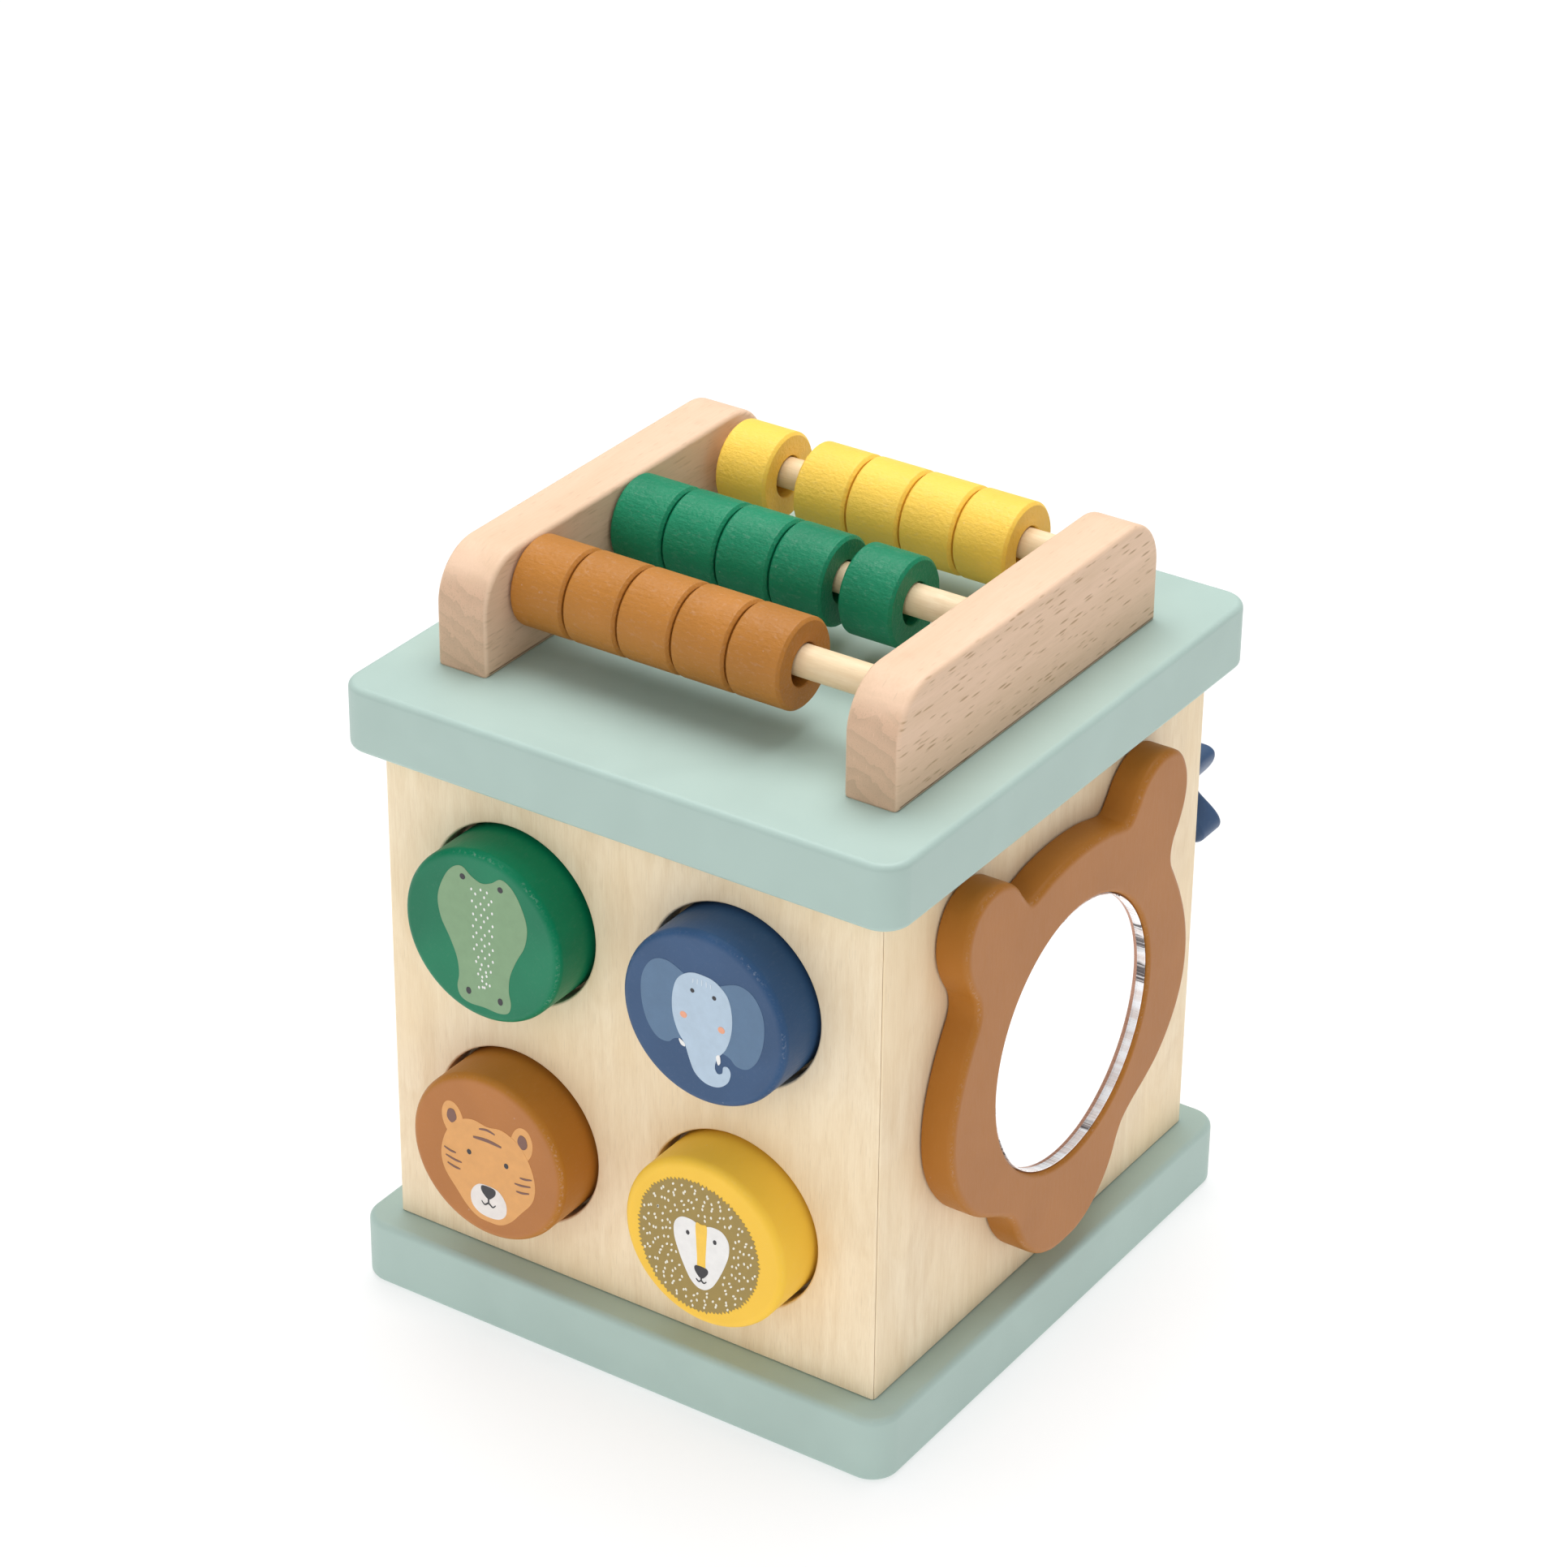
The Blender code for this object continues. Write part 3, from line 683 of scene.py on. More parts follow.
# the flat faces of the bear board across X get a painted reflection veil
bear_paint = paint("bear_board_paint", (0.405, 0.152, 0.018), "z", rough=0.44, grain=0.2,
                   vary=0.03, edge_wear_and_highlight=0.5, specular=0.22, painted_reflection_veil=("x", (0.012, 0.016, 0.026)))
spring_steel, mirror_silver, mirror_edge = steel(), silver(), cut_edge()


# ------------------------------------------------------------------ plates
PLATE_CORNER = 8.0 * MM


def plate(name, node, tone):
    low, high, _ = span(node)
    across, up = high.x - PLATE_CORNER, high.y - PLATE_CORNER
    outline = []
    for x, y, start in ((across, up, 0), (-across, up, 90), (-across, -up, 180),
                        (across, -up, 270)):
        outline += arc(x, y, PLATE_CORNER, start, start + 90, 12)
    bm = slab(outline, low.z, high.z, "z", start_round=1.7 * MM, end_round=1.9 * MM, steps=6)
    even_shading(piece(name, bm, mint_paint, replaces=node, sharp=45,
                       tone=tone))


plate("bottom_board", "bottom_plate", tone=0.31)
plate("top_board", "top_plate", tone=0.11)

# ------------------------------------------------------------------ frame pieces that stay
for node, tone in (("right_panel", 0.21), ("back_panel", 0.47), ("left_panel", 0.77)):
    frame["nodes"][node]["tone"] = tone
    recoat(node, outer_ply)
for node in ("corner_post_left", "corner_post_right", "guide_board"):
    recoat(node, inner_ply)
for animal in DISC_COLOURS:
    recoat(animal + "_flange", inner_ply)
    recoat(animal + "_stem", stem_wood)
for node in frame["nodes"]:
    if node.startswith("bar_dowel"):
        recoat(node, stem_wood)

# ------------------------------------------------------------------ glue in the back mitres
GLUE_NEAR, GLUE_FAR = 0.4 * MM, 1.4 * MM      # depths of the glue below the outer faces
GLUE_END_GAP = 0.2 * MM


def glue_lines():
    glue = ink("glue_line", (0.62, 0.46, 0.28), rough=0.6)
    low, high, _ = span("back_panel")
    for way, side in ((-1, "left"), (1, "right")):
        outer_x = span(side + "_panel")[1 if way > 0 else 0].x
        outline = [(outer_x - way * inward, high.y - forward) for inward, forward in (
            (GLUE_NEAR, GLUE_NEAR), (GLUE_FAR, GLUE_NEAR), (GLUE_FAR, GLUE_FAR),
            (GLUE_NEAR, GLUE_FAR))]
        bm = bmesh.new()
        add_prism(bm, outline, low.z + GLUE_END_GAP, high.z - GLUE_END_GAP, "z")
        piece("glue_" + side, bm, glue)


glue_lines()

# ------------------------------------------------------------------ front panel
PANEL_CORNER = 1.0 * MM
HOLE_RADIUS = 26.0 * MM
HOLE_EASE = 0.7 * MM      # rounding of the hole mouths


def front_panel():
    """Panel with mitred sides and four round holes."""
    low, high, _ = span("front_panel")
    front, back = low.y, high.y
    edge = span("right_panel")[1].x + 0.01 * MM      # closes the mitre
    half = arc(edge - PANEL_CORNER, front + PANEL_CORNER, PANEL_CORNER, -90, -45, 5)
    half.append((edge - (back - front), back))
    bm = bmesh.new()
    add_prism(bm, half + [(-x, y) for x, y in reversed(half)], low.z, high.z, "z")
    panel = piece("front_board", bm, outer_ply, replaces="front_panel", tone=0.0)

    clear = 2 * MM      # how far the cutters reach beyond the panel
    mouth = HOLE_RADIUS + HOLE_EASE + 0.4 * MM
    profile = [(0, front - clear, 0), (mouth, front - clear, 0), (mouth, front - 0.02 * MM, 0)]
    for angle in map(radians, (0, 22, 45, 68, 90)):
        profile.append((HOLE_RADIUS + HOLE_EASE * (1 - sin(angle)),
                        front - 0.01 * MM + HOLE_EASE * (1 - cos(angle)), 0))
    profile += [(HOLE_RADIUS, back + clear, 0), (0, back + clear, 0)]
    cut(panel, [cutter("hole_" + animal, profile, "y", (mid.x, mid.z), 96)
                for animal, (_, _, mid) in DISC_SPANS.items()])
    even_shading(panel)


front_panel()

# ------------------------------------------------------------------ abacus
ROD_RADIUS = 4.35 * MM
ROD_Z = span("abacus_rod_front")[2].z
SEAT_GAP, SEAT_DEPTH = 0.25 * MM, 9.6 * MM      # blind rod holes in the bars
SOCKET_GAP, SOCKET_EXTRA = 0.3 * MM, 0.5 * MM      # dowel holes in the bars
CUT_CLEAR = 2 * MM
BAR_TOP_ROUND, BAR_FOOT_ROUND, BAR_EDGE = 15.0 * MM, 1.1 * MM, 1.5 * MM
BAR_SINK = 0.7 * MM      # the bars reach this far below their frame nodes
BEAD_BORE, BEAD_CHAMFER = 5.8 * MM, 0.9 * MM
BEAD_GAP = 0.12 * MM      # taken off each end, so the joints read as dark lines


def abacus_bar(side, tone):
    low, high, _ = span("abacus_bar_" + side)
    top, foot = BAR_TOP_ROUND, BAR_FOOT_ROUND
    bottom = low.z - BAR_SINK
    outline = (arc(low.y + foot, bottom + foot, foot, 180, 270, 4)
               + arc(high.y - foot, bottom + foot, foot, 270, 360, 4)
               + arc(high.y - top, high.z - top, top, 0, 90, 20)
               + arc(low.y + top, high.z - top, top, 90, 180, 20))
    bar = piece("bar_" + side, slab(outline, low.x, high.x, "x", BAR_EDGE, BAR_EDGE, steps=5),
                beech_wood, replaces="abacus_bar_" + side, sharp=40, tone=tone)
    inner, outward = (high.x, -1) if side == "left" else (low.x, 1)
    cutters = []
    seat = cylinder(ROD_RADIUS + SEAT_GAP, inner - outward * CUT_CLEAR,
                    inner + outward * SEAT_DEPTH)
    for row in ROWS:
        y = span("abacus_rod_" + row)[2].y
        cutters.append(cutter("seat_%s_%s" % (side, row), seat, "x", (y, ROD_Z), 48))
    for end in ("front", "back"):
        dowel_low, dowel_high, mid = span("bar_dowel_%s_%s" % (side, end))
        socket = cylinder((dowel_high.x - dowel_low.x) / 2 + SOCKET_GAP, low.z - CUT_CLEAR,
                          dowel_high.z + SOCKET_EXTRA)
        cutters.append(cutter("socket_%s_%s" % (side, end), socket, "z", (mid.x, mid.y), 32))
    cut(bar, cutters)
    even_shading(bar)


def abacus_rod(row, tone):
    node = "abacus_rod_" + row
    low, high, mid = span(node)
    profile = filleted([(0, low.x, 0), (ROD_RADIUS, low.x, 0.5 * MM),
                        (ROD_RADIUS, high.x, 0.5 * MM), (0, high.x, 0)], steps=3)
    piece("rod_" + row, lathe(profile, "x", (mid.y, mid.z), 48), rod_wood, replaces=node,
          sharp=40, tone=tone)


def bead(colour, number):
    node = "%s_bead_%d" % (colour, number)
    low, high, mid = span(node)
    start, end = low.x + BEAD_GAP, high.x - BEAD_GAP
    radius = (high.z - low.z) / 2
    shoulder, slope = radius - BEAD_CHAMFER, BEAD_CHAMFER * 0.9
    profile = filleted([
        (BEAD_BORE, mid.x, 0), (BEAD_BORE, start, 0.5 * MM), (shoulder, start, 0.35 * MM),
        (radius, start + slope, 0.6 * MM), (radius, end - slope, 0.6 * MM),
        (shoulder, end, 0.35 * MM), (BEAD_BORE, end, 0.5 * MM),
        (BEAD_BORE, mid.x + 0.01 * MM, 0)], steps=4)
    even_shading(piece(
        "bead_%s_%d" % (colour, number), lathe(profile, "x", (mid.y, mid.z), 80, close=True),
        paints[colour]["x"], body=node, replaces=node, sharp=40,
        tone=(0.173 * number + 0.41 * len(colour)) % 1.0))


abacus_bar("left", tone=0.13)
abacus_bar("right", tone=0.59)
for k, row in enumerate(ROWS):
    abacus_rod(row, tone=0.2 + 0.3 * k)
for colour in ("brown", "green", "yellow"):
    for k in range(1, 6):
        bead(colour, k)

# ------------------------------------------------------------------ press discs
DISC_RADIUS = HOLE_RADIUS - 1.2 * MM
STEM_SOCKET_RADIUS, STEM_SOCKET_DEPTH = 5.3 * MM, 8.3 * MM


def hashed(k):
    """Repeatable scatter value from 0 to 1."""
    value = sin(k * 12.9898 + 4.1414) * 43758.5453
    return value - floor(value)


def press_disc(animal):
    """Disc with a rounded front edge and a socket in its back."""
    low, high, mid = DISC_SPANS[animal]
    front, back = low.y, high.y
    floor_y = back - STEM_SOCKET_DEPTH
    profile = filleted([
        (0, front, 0), (DISC_RADIUS, front, 2.3 * MM), (DISC_RADIUS, back, 0.6 * MM),
        (STEM_SOCKET_RADIUS, back, 0.4 * MM), (STEM_SOCKET_RADIUS, floor_y, 0),
        (0, floor_y, 0)], steps=8)
    colour = DISC_COLOURS[animal]
    even_shading(piece(
        "disc_" + animal, lathe(profile, "y", (mid.x, mid.z), 128), paints[colour]["y"],
        body=animal + "_knob", replaces=animal + "_button", sharp=40,
        tone=hashed(len(animal) + 3)))


for animal in DISC_COLOURS:
    press_disc(animal)

# ------------------------------------------------------------------ prints on the discs
# Print shapes are in millimetres of (x, z). Half outlines are (offset from the axis, z).
PRINT_RAISE = {"crocodile": 0.75, "elephant": 0.85, "tiger": 0.8, "lion": 0.0}
PRINT_SINK, PRINT_PROUD, LEVEL_STEP = 0.06, 0.07, 0.05
SHAPE_STEP = 0.007      # between the shapes of a small group, so that they never share a plane

dark_ink = ink("print_dark", srgb(47, 45, 50))
white_ink = ink("print_white", (0.83, 0.82, 0.80))


def prints(animal, name, shapes, level, material):
    """Raised ink shapes on a disc's face. Higher levels lie over lower ones."""
    front = DISC_SPANS[animal][0].y
    step = SHAPE_STEP if len(shapes) < 12 else 0.0
    bm = bmesh.new()
    for k, shape in enumerate(shapes):
        outline = [(x * MM, (z + PRINT_RAISE[animal]) * MM) for x, z in shape]
        proud = PRINT_PROUD + LEVEL_STEP * level + step * k
        add_prism(bm, outline, front + PRINT_SINK * MM, front - proud * MM, "y")
    piece("print_%s_%s" % (animal, name), bm, material, body=animal + "_knob")


def blob(x, z, half_width, half_height=None, turn=0.0, count=20):
    """Ellipse, turned by turn degrees."""
    half_height = half_width if half_height is None else half_height
    cosine, sine = cos(radians(turn)), sin(radians(turn))
    ellipse = ((half_width * cos(angle), half_height * sin(angle))
               for angle in (2 * pi * k / count for k in range(count)))
    return [(x + a * cosine - b * sine, z + a * sine + b * cosine) for a, b in ellipse]


def stroke(points, width, steps=6):
    """A tapering line along a smooth path."""
    last = len(points) - 1
    path = [catmull_rom(points[max(k - 1, 0)], points[k], points[k + 1],
                        points[min(k + 2, last)], j / steps)
            for k in range(last) for j in range(steps)]
    path.append(points[-1])
    left, right = [], []
    last = len(path) - 1
    for k, (x, z) in enumerate(path):
        a, b = path[max(k - 1, 0)], path[min(k + 1, last)]
        way = Vector((b[0] - a[0], b[1] - a[1])).normalized()
        half = width / 2 * (0.35 + 0.65 * sin(pi * (0.08 + 0.84 * k / last)))
        left.append((x - way.y * half, z + way.x * half))
        right.append((x + way.y * half, z - way.x * half))
    return left + right[::-1]


def moved(points, centre, side=1):
    """Points of (offset, z) moved to a centre, mirrored when side is -1."""
    return [(centre + side * offset, z) for offset, z in points]


def print_centre(animal, offset=0.0):
    return DISC_SPANS[animal][2].x / MM + offset


def crocodile():
    """Crocodile head seen from above."""
    centre = print_centre("crocodile", 0.8)
    head = [(0, 142.9), (3.2, 144.0), (6.2, 146.0), (9.4, 144.6), (12.2, 140.6), (14.2, 134.6),
            (13.4, 128.6), (10.6, 123.2), (8.5, 118.0), (8.0, 113.2), (8.6, 109.4), (7.6, 106.6),
            (4.6, 105.5), (0, 105.7)]
    prints("crocodile", "head", [symmetric(head, centre, 6)], 0,
           ink("print_pale_green", (0.208, 0.345, 0.186)))
    prints("crocodile", "eyes", [
        blob(centre - 6.0, 143.0, 0.85), blob(centre + 6.0, 142.9, 0.85),
        blob(centre - 5.0, 109.2, 0.8, 1.05), blob(centre + 5.2, 109.2, 0.8, 1.05)], 1, dark_ink)
    dots = []
    for k in range(17):      # rows of three, narrowing towards the low end
        row_z = 140.6 - 1.82 * k
        half = 2.9 if k < 11 else 2.9 - 0.32 * (k - 10)
        stagger = 0.7 if k % 2 else -0.5
        for i in range(3):
            offset = (i - 1) * half * 0.86 + stagger + 0.5 * (hashed(k * 7 + i) - 0.5)
            dots.append(blob(centre + offset, row_z + 0.8 * (hashed(k * 5 + i * 3) - 0.5),
                             0.30, 0.44, turn=20 * (hashed(k + i * 9) - 0.5), count=8))
    prints("crocodile", "scales", dots, 1, white_ink)


def elephant():
    centre = print_centre("elephant")
    ears = [(0, 134.6), (5.6, 138.0), (10.8, 140.0), (15.2, 138.6), (18.2, 133.6), (18.6, 127.0),
            (17.0, 120.6), (13.9, 116.6), (10.4, 116.2), (7.6, 118.2), (0, 119.4)]
    prints("elephant", "ears", [symmetric(ears, centre, 6)], 0,
           ink("print_mid_blue", (0.090, 0.172, 0.290)))
    # whole outline of face and trunk
    face = [(0, 139.3), (4.0, 138.6), (7.6, 135.6), (9.0, 130.6), (8.8, 125.0), (7.2, 120.0),
            (4.9, 116.8), (3.9, 113.9), (4.6, 112.1), (6.1, 112.6), (6.5, 114.6), (7.9, 114.9),
            (8.7, 113.2), (7.7, 110.2), (4.8, 108.0), (1.0, 107.9), (-2.2, 110.0), (-3.9, 113.6),
            (-5.2, 117.2), (-7.4, 120.6), (-8.9, 125.2), (-9.0, 130.8), (-7.5, 135.8),
            (-4.0, 138.7)]
    prints("elephant", "face", [spline(moved(face, centre), 6)], 1,
           ink("print_pale_blue", (0.440, 0.555, 0.675)))
    prints("elephant", "eyes", [blob(centre - 2.9, 133.9, 0.62), blob(centre + 3.7, 133.9, 0.62)],
           2, dark_ink)
    prints("elephant", "cheeks", [blob(centre - 5.6, 125.9, 1.05, 0.95),
                                  blob(centre + 5.9, 125.3, 1.05, 0.95)],
           2, ink("print_orange", (0.80, 0.36, 0.22)))
    tusks = (((-7.0, 118.4), (-5.4, 117.6), (-5.2, 116.6), (-6.4, 116.9)),
             ((4.3, 116.9), (5.3, 117.7), (5.6, 115.6), (4.9, 114.7)))
    prints("elephant", "tusks", [spline(moved(tusk, centre), 4) for tusk in tusks], 2, white_ink)
    crown = []
    for k in range(5):      # a small fan of hairs
        x = centre - 2.6 + 1.3 * k
        hair = [(x, 138.0 - 0.12 * (k - 2) ** 2), (x + 0.09 * (k - 2), 136.2)]
        crown.append(stroke(hair, 0.35, steps=3))
    prints("elephant", "crown", crown, 2, ink("print_haze", (0.60, 0.68, 0.76)))


def tiger():
    centre = print_centre("tiger", 0.5)
    orange = ink("print_tiger_orange", (0.735, 0.355, 0.108))
    head = [(0, 68.6), (5.0, 69.2), (10.2, 66.8), (13.8, 61.8), (15.4, 55.6), (14.4, 50.2),
            (10.6, 45.2), (7.2, 41.2), (3.8, 38.9), (0, 38.5)]
    ear = [(7.9, 66.0), (8.6, 70.0), (10.8, 72.3), (13.4, 71.8), (14.8, 68.6), (14.2, 64.6),
           (11.6, 62.0)]
    inner_ear = [(10.0, 67.6), (10.8, 70.0), (12.6, 69.7), (13.1, 67.2), (11.6, 65.8)]
    prints("tiger", "head", [symmetric(head, centre, 6)], 0, orange)
    prints("tiger", "ears", [spline(moved(ear, centre, side), 6) for side in (1, -1)], -0.6,
           orange)
    umber = ink("print_umber", srgb(122, 84, 72))
    prints("tiger", "inner_ears", [spline(moved(inner_ear, centre, side), 5) for side in (1, -1)],
           1, umber)
    stripes = [stroke(moved([(-2.6, 67.1), (0, 67.6), (2.6, 67.1)], centre), 0.7),
               stroke(moved([(-4.6, 63.9), (0, 64.3), (4.6, 63.9)], centre), 1.05)]
    for side in (1, -1):
        for k, (z, length) in enumerate(((56.6, 3.9), (54.2, 5.2), (51.9, 4.2))):
            outer = 14.4 - 0.5 * k
            whisker = [(outer, z + 0.7), (outer - length * 0.55, z + 0.1), (outer - length, z)]
            stripes.append(stroke(moved(whisker, centre, side), 0.62))
    prints("tiger", "stripes", stripes, 1, umber)
    muzzle = [(0, 50.0), (3.4, 49.4), (5.7, 46.4), (5.6, 42.8), (3.4, 40.6), (0, 40.0)]
    prints("tiger", "muzzle", [symmetric(muzzle, centre, 6)], 1,
           ink("print_muzzle_white", (0.80, 0.74, 0.70)))
    prints("tiger", "eyes", [blob(centre + x, 58.6, 0.72, 0.82) for x in (-6.1, 6.1)], 1, dark_ink)
    nose = [(0, 49.8), (2.2, 49.4), (2.2, 47.8), (0.8, 46.2), (0, 45.9)]
    mouth = [(-2.3, 44.6), (-1.3, 43.7), (0, 44.5), (1.3, 43.7), (2.3, 44.6)]
    prints("tiger", "nose", [
        symmetric(nose, centre, 5), stroke([(centre, 46.6), (centre, 44.4)], 0.5, steps=4),
        stroke(moved(mouth, centre), 0.5)], 2, dark_ink)


def lion():
    centre = print_centre("lion", -1.4)
    centre_z = DISC_SPANS["lion"][2].z / MM - 1.1
    face_x = centre + 1.2
    mane = []
    count = 190
    for k in range(count):
        angle = 2 * pi * k / count
        jag = (0.42 if k % 2 else -0.34) * (0.4 + 1.2 * hashed(k + 40))
        radius = 19.0 + 0.35 * sin(3 * angle + 1) + jag
        mane.append((centre + radius * 0.98 * cos(angle),
                     centre_z + 0.1 + radius * 1.035 * sin(angle)))
    prints("lion", "mane", [mane], 0, ink("print_olive", (0.330, 0.225, 0.050)))

    tufts = []
    count = 270
    for k in range(count):      # a sunflower spiral that leaves out the face
        radius = 18.2 * sqrt((k + 0.5) / count)
        angle = k * 2.39996 + 0.10 * sin(k)
        x = centre + 0.98 * radius * cos(angle) + 0.7 * (hashed(k) - 0.5)
        z = centre_z + 1.03 * radius * sin(angle) + 0.7 * (hashed(k + 500) - 0.5)
        aside, height = abs(x - face_x), z - centre_z
        if aside < 9.3 and -13.0 < height < 8.9 and aside < 4.5 + 0.33 * (height + 13.9):
            continue
        tufts.append(blob(x, z, 0.47, 0.31, turn=75 + 70 * (hashed(k + 90) - 0.5), count=8))
    prints("lion", "tufts", tufts, 1, ink("print_cream", (0.84, 0.80, 0.68)))

    def fitted(points):
        """Face points squeezed in height to fit inside the mane."""
        return [(offset, 65.2 + (z - 63.9) * 0.955) for offset, z in points]

    shield = [(0, 63.4), (3.2, 64.4), (6.4, 64.0), (8.4, 61.4), (8.5, 57.4), (7.3, 53.2),
              (5.6, 49.0), (3.6, 45.2), (1.6, 43.3), (0, 42.9)]
    stripe = [(0, 63.9), (1.7, 63.8), (1.55, 58.0), (1.3, 53.0), (1.2, 50.0), (0, 49.6)]
    eyes = [(-4.2, 59.8), (4.2, 59.9)]
    nose = [(0, 50.4), (1.9, 50.0), (2.0, 48.6), (0.8, 46.9), (0, 46.6)]
    lip = [(0, 47.2), (0, 45.6)]
    mouth = [(-1.6, 45.9), (-0.8, 45.2), (0, 45.7), (0.8, 45.2), (1.6, 45.9)]
    prints("lion", "face", [symmetric(fitted(shield), face_x, 6)], 1,
           ink("print_face_white", (0.84, 0.82, 0.80)))
    prints("lion", "stripe", [symmetric(fitted(stripe), face_x, 4)], 2,
           ink("print_gold", YELLOW))
    prints("lion", "eyes", [blob(x, z, 0.55, 0.7) for x, z in moved(fitted(eyes), face_x)], 2,
           dark_ink)
    prints("lion", "nose", [
        symmetric(fitted(nose), face_x, 5), stroke(moved(fitted(lip), face_x), 0.45, steps=4),
        stroke(moved(fitted(mouth), face_x), 0.42)], 3, dark_ink)


crocodile()
elephant()
tiger()
lion()

# ------------------------------------------------------------------ springs
COIL_RADIUS, WIRE_RADIUS = 8.0 * MM, 0.8 * MM
COIL_TURNS, STEPS_PER_TURN, WIRE_SIDES = 4, 40, 12


def spring(animal):
    """Coil behind a disc. The real one squashes towards its back end as the disc is pressed."""
    low, high, _ = span(animal + "_spring")
    mid = DISC_SPANS[animal][2]
    start, end = low.y + WIRE_RADIUS, high.y - WIRE_RADIUS
    steps = COIL_TURNS * STEPS_PER_TURN
    rings = []
    for k in range(steps + 1):
        angle = 2 * pi * k / STEPS_PER_TURN
        y = start + (end - start) * k / steps
        wire = ((COIL_RADIUS + WIRE_RADIUS * cos(a), y + WIRE_RADIUS * sin(a))
                for a in (2 * pi * j / WIRE_SIDES for j in range(WIRE_SIDES)))
        rings.append([(mid.x + radius * cos(angle), wire_y, mid.z + radius * sin(angle))
                      for radius, wire_y in wire])
    ob = piece("coil_" + animal, skin(rings), spring_steel, replaces=animal + "_spring",
               sharp=60)
    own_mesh(ob)


for animal in DISC_COLOURS:
    spring(animal)

# ------------------------------------------------------------------ bear board and mirror
BEAR_Y = -0.8      # mm, the bear's axis of symmetry
MIRROR_CENTRE = (BEAR_Y * MM, 93.7 * MM)
MIRROR_RADIUS = 38.2 * MM
POCKET_RADIUS = MIRROR_RADIUS + 0.4 * MM
POCKET_DEPTH, POCKET_RIM = 4.2 * MM, 1.3 * MM
EDGE_WIDTH, EDGE_CHAMFER_IN, EDGE_CHAMFER_DOWN = 0.35 * MM, 0.10 * MM, 0.12 * MM

# Half outline of the bear from chin to crown, mm: (offset from the axis, z)
BEAR_HALF = [
    (0, 28.0), (6, 28.4), (11.5, 30.2), (16.5, 33.4), (20.6, 37.3), (24, 42), (26.4, 47),
    (29.2, 51.2), (34, 54.6), (40, 57.8), (46.5, 62), (52, 67.6), (56.6, 74.6), (59.3, 82),
    (60.2, 89.5), (59.6, 97), (57.8, 104), (55, 111), (51.8, 117.2), (49.4, 121.6),
    (48.8, 125.2), (49.8, 129), (52.4, 133.2), (54.6, 138), (55.6, 143.4), (54.8, 149),
    (51.9, 154.1), (47.1, 157.1), (41.5, 157.9), (35.9, 156.6), (31.1, 153.3), (27.6, 148.8),
    (24.4, 145.8), (20, 146.4), (14, 147.9), (7, 148.8), (0, 149.1),
]


def bear_board():
    low, high, _ = span("mirror_frame")
    floor_x = high.x - POCKET_DEPTH
    pocket = []
    for k in range(7):
        angle = radians(90 * k / 6)
        pocket.append((POCKET_RADIUS + POCKET_RIM * (1 - sin(angle)),
                       high.x - POCKET_RIM * (1 - cos(angle)), sin(2 * angle)))
    pocket += [(POCKET_RADIUS, floor_x + 0.02 * MM, 0), (POCKET_RADIUS - 0.1 * MM, floor_x, 0)]
    outline = [(y * MM, z * MM) for y, z in symmetric(BEAR_HALF, BEAR_Y, 6)]
    bm = slab(outline, low.x, high.x, "x", start_round=0.7 * MM, end_round=2.0 * MM, steps=6,
              hole=(*MIRROR_CENTRE, pocket))
    even_shading(piece("bear_board", bm, bear_paint, replaces="mirror_frame",
                       sharp=40, tone=0.42))


def mirror():
    """A silvered disc inside a thin ring that is the sheet's cut edge."""
    low, high, _ = span("mirror")
    back, front = low.x, high.x
    face = front - SILVER_DEPTH
    inner = MIRROR_RADIUS - EDGE_WIDTH
    rim = inner - 0.02 * MM
    profile = [(0, back, 0), (inner - 0.6 * MM, back, 0), (rim, back, 0), (rim, face, 0),
               (inner - 0.5 * MM, face, 0), (0, face, 0)]
    even_shading(piece("mirror_silvering", lathe(profile, "x", MIRROR_CENTRE, 160),
                       mirror_silver, replaces="mirror", sharp=30))
    shoulder = front - EDGE_CHAMFER_DOWN
    profile = [(inner, back, 0), (MIRROR_RADIUS, back, 0), (MIRROR_RADIUS, shoulder, 0),
               (MIRROR_RADIUS - EDGE_CHAMFER_IN, front, 0), (inner + EDGE_CHAMFER_IN, front, 0),
               (inner, shoulder, 0)]
    even_shading(piece("mirror_cut_edge", lathe(profile, "x", MIRROR_CENTRE, 160, close=True),
                       mirror_edge, sharp=30))


bear_board()
mirror()

# ------------------------------------------------------------------ gears and pegs
MODULE = 6.25 * MM            # pitch diameter per tooth
TOOTH_HEIGHT = 4.5 * MM       # above and below the middle of the tooth wave
BACKLASH = 0.5 * MM           # taken off the pitch radius
TOOTH_SHARPNESS = 1.3
GEAR_BORE, BORE_EASE, GEAR_EDGE = 4.6 * MM, 0.5 * MM, 2.2 * MM
PEG_RADIUS, PEG_HEAD_RADIUS, PEG_HEAD_HEIGHT = 4.0 * MM, 8.5 * MM, 4.4 * MM

# colour: (teeth, gear tone, peg tone)
GEARS = {"navy": (8, 0.3, 0.15), "yellow": (10, 0.6, 0.35), "green": (8, 0.9, 0.75)}
hinges = {j["name"]: j["pos_m"] for j in frame["joints"] if j["type"] == "hinge"}
gear_at = {c: (hinges[c + "_gear_turn"][0], hinges[c + "_gear_turn"][2]) for c in GEARS}
gear_phase = {"navy": radians(-14.2)}
for driver, mate in (("navy", "yellow"), ("yellow", "green")):
    # each gear is turned so that its teeth fall in the gaps of the one before
    toward = atan2(gear_at[mate][1] - gear_at[driver][1], gear_at[mate][0] - gear_at[driver][0])
    turned = GEARS[driver][0] * (toward - gear_phase[driver])
    gear_phase[mate] = toward + pi - (pi - turned) / GEARS[mate][0]


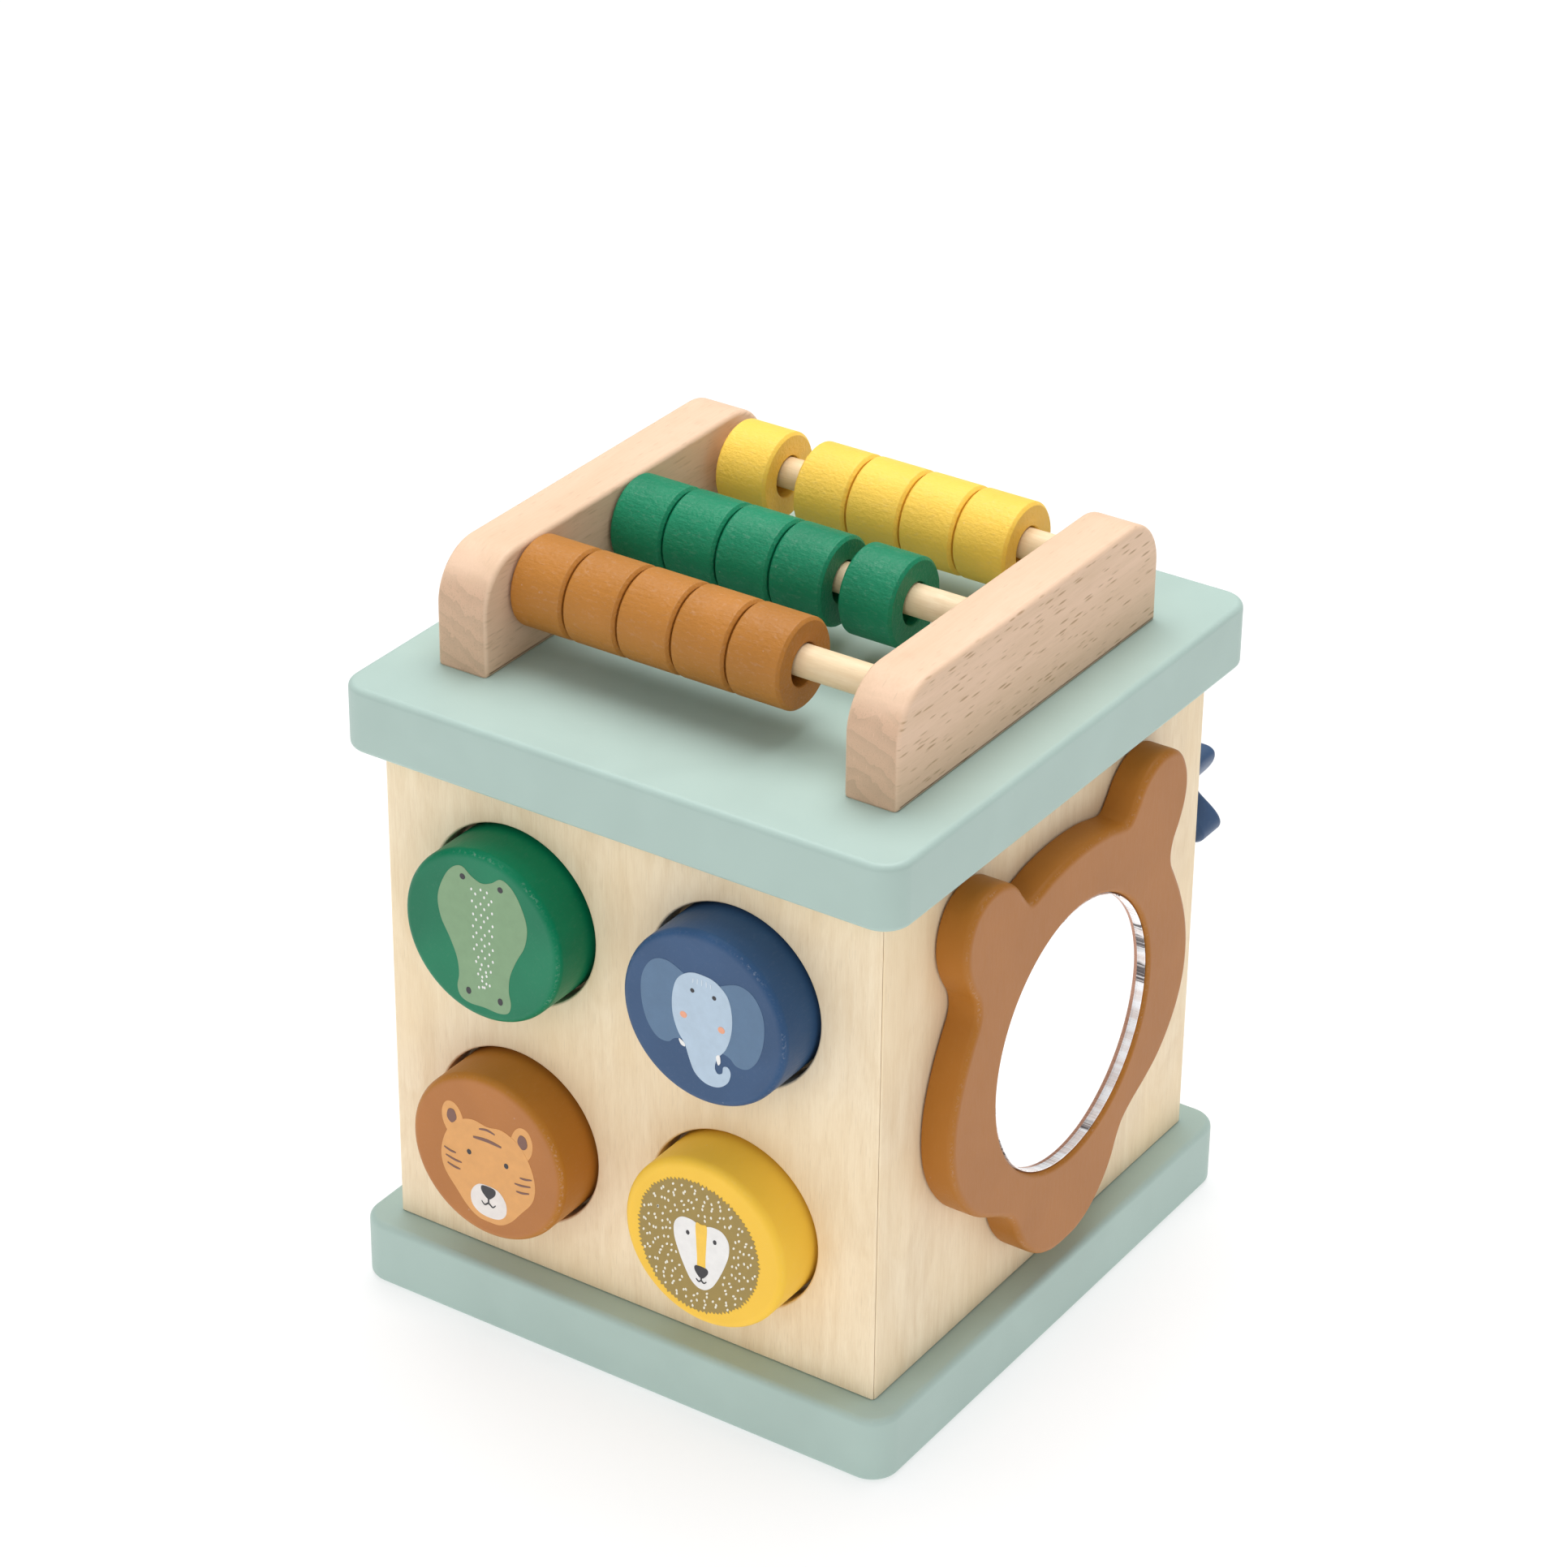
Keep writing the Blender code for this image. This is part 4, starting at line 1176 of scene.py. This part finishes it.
def gear(colour, teeth, tone):
    node = colour + "_gear"
    low, high, _ = span(node)
    x, z = gear_at[colour]
    count = teeth * 32
    outline = []
    for k in range(count):
        angle = 2 * pi * k / count
        wave = 2 * ((1 + cos(teeth * angle)) / 2) ** TOOTH_SHARPNESS - 1
        radius = MODULE * teeth / 2 - BACKLASH + TOOTH_HEIGHT * wave
        angle += gear_phase[colour]
        outline.append((x + radius * cos(angle), z + radius * sin(angle)))
    bore = [(GEAR_BORE + BORE_EASE, high.y, 0), (GEAR_BORE, high.y - BORE_EASE, 1),
            (GEAR_BORE, low.y + BORE_EASE, 1), (GEAR_BORE + BORE_EASE, low.y, 0)]
    bm = slab(outline, low.y, high.y, "y", GEAR_EDGE, GEAR_EDGE, steps=7, hole=(x, z, bore))
    even_shading(piece("gear_" + colour, bm, gear_paints[colour], body=node, replaces=node,
                       sharp=40, tone=tone))


def peg(colour, tone):
    """Shank with a domed head at its back end."""
    node = colour + "_gear_peg"
    low, high, _ = span(node)
    end = high.y
    head = end - PEG_HEAD_HEIGHT
    profile = filleted([
        (0, low.y, 0), (PEG_RADIUS, low.y, 0.4 * MM), (PEG_RADIUS, head, 0.1 * MM),
        (PEG_HEAD_RADIUS, head, 0.6 * MM), (PEG_HEAD_RADIUS, end - 0.4 * MM, 1.2 * MM),
        (PEG_HEAD_RADIUS * 0.55, end, 6.0 * MM), (0, end, 0)], steps=5)
    even_shading(piece("peg_" + colour, lathe(profile, "y", gear_at[colour], 64), stem_wood,
                       replaces=node, sharp=40, tone=tone))


for colour, (teeth, gear_tone, peg_tone) in GEARS.items():
    gear(colour, teeth, gear_tone)
    peg(colour, peg_tone)


# ------------------------------------------------------------------ floor and world
def floor_material():
    """Glowing white floor, a little darker to the camera than to other rays."""
    material, net = new_material("white_floor")
    net.tree.nodes.remove(net.tree.nodes["Principled BSDF"])

    def glow(grey, strength):
        diffuse = net.node("ShaderNodeBsdfDiffuse", {"Color": (grey, grey, grey, 1)})
        emission = net.node("ShaderNodeEmission", {"Color": (1, 1, 1, 1), "Strength": strength})
        return net.node("ShaderNodeAddShader",
                        {0: diffuse.outputs[0], 1: emission.outputs[0]}).outputs[0]

    seen, unseen = glow(grey=0.42, strength=0.60), glow(grey=0.52, strength=0.65)
    both = net.node("ShaderNodeMixShader", {0: net.ray("Is Camera Ray"), 1: unseen, 2: seen})
    net.fill(net.tree.nodes["Material Output"], {"Surface": both.outputs[0]})
    return material


def studio_floor():
    mesh = bpy.data.meshes.new("floor")
    bm = bmesh.new()
    bmesh.ops.create_grid(bm, x_segments=8, y_segments=8, size=12.0)
    bmesh.ops.translate(bm, verts=bm.verts, vec=(0, 0, -0.2 * MM))
    bm.to_mesh(mesh)
    bm.free()
    ob = add_object("floor", mesh)
    mesh.materials.append(floor_material())


def studio_world():
    world = bpy.data.worlds.new("studio")
    bpy.context.scene.world = world
    world.use_nodes = True
    net = Net(world.node_tree)
    up = net.split(net.coordinate("Generated"))[2]
    sky = net.ramp(up, over=(0.0, 0.8), to=(0.585, 0.57))
    # dark studio walls in reflections
    sky = net.times(sky, net.ramp(net.ray("Is Glossy Ray"), to=(1.0, 0.3)))
    # a white wall where the camera sees past the floor
    seen = net.ray("Is Camera Ray")
    wall = net.times(net.ramp(up, over=(0.0, 0.12), to=(0.83, 1.0)), seen)
    strength = net.plus(net.times(sky, net.ramp(seen, to=(1.0, 0.0))), wall)
    net.fill(net.tree.nodes["Background"], {"Color": (1, 1, 1, 1), "Strength": strength})


# ------------------------------------------------------------------ lights and camera
def softbox(name, place, size, power):
    """Area light turned to the middle of the cube."""
    light = bpy.data.lights.new(name, "AREA")
    light.shape = "RECTANGLE"
    light.size, light.size_y = size
    light.energy = power
    ob = add_object(name, light)
    ob.location = place
    aim = Vector((0, 0, 0.1)) - Vector(place)
    ob.rotation_euler = aim.to_track_quat("-Z", "Y").to_euler()


def camera(azimuth, elevation, roll, pivot, shift, distance):
    """Camera orbiting a pivot (angles in degrees), then shifted right and up. Lengths in mm."""
    azimuth, elevation, roll = map(radians, (azimuth, elevation, roll))
    data = bpy.data.cameras.new("camera")
    data.sensor_width = 36
    data.lens = 108.385379
    data.clip_start = 0.01
    ob = add_object("camera", data)
    back = Vector((sin(azimuth) * cos(elevation), -cos(azimuth) * cos(elevation),
                   sin(elevation)))
    level = Vector((cos(azimuth), sin(azimuth), 0))
    upright = back.cross(level)
    right = level * cos(roll) + upright * sin(roll)
    up = upright * cos(roll) - level * sin(roll)
    place = (Vector(pivot) + right * shift[0] + up * shift[1] + back * distance) * MM
    ob.matrix_world = Matrix((*zip(right, up, back, place), (0, 0, 0, 1)))
    bpy.context.scene.camera = ob


studio_floor()
studio_world()
softbox("top_softbox", place=(-0.15, 0.30, 1.5), size=(1.1, 1.1), power=18.4)
softbox("front_fill", place=(0.10, -1.35, 1.05), size=(1.3, 0.9), power=4.4)
camera(azimuth=33.538, elevation=29.322, roll=0.560, pivot=(0, 0, 110), shift=(-4.461, 26.696),
       distance=1268.752)
bpy.context.scene.view_settings.view_transform = "Standard"
bpy.context.scene.view_settings.look = "None"
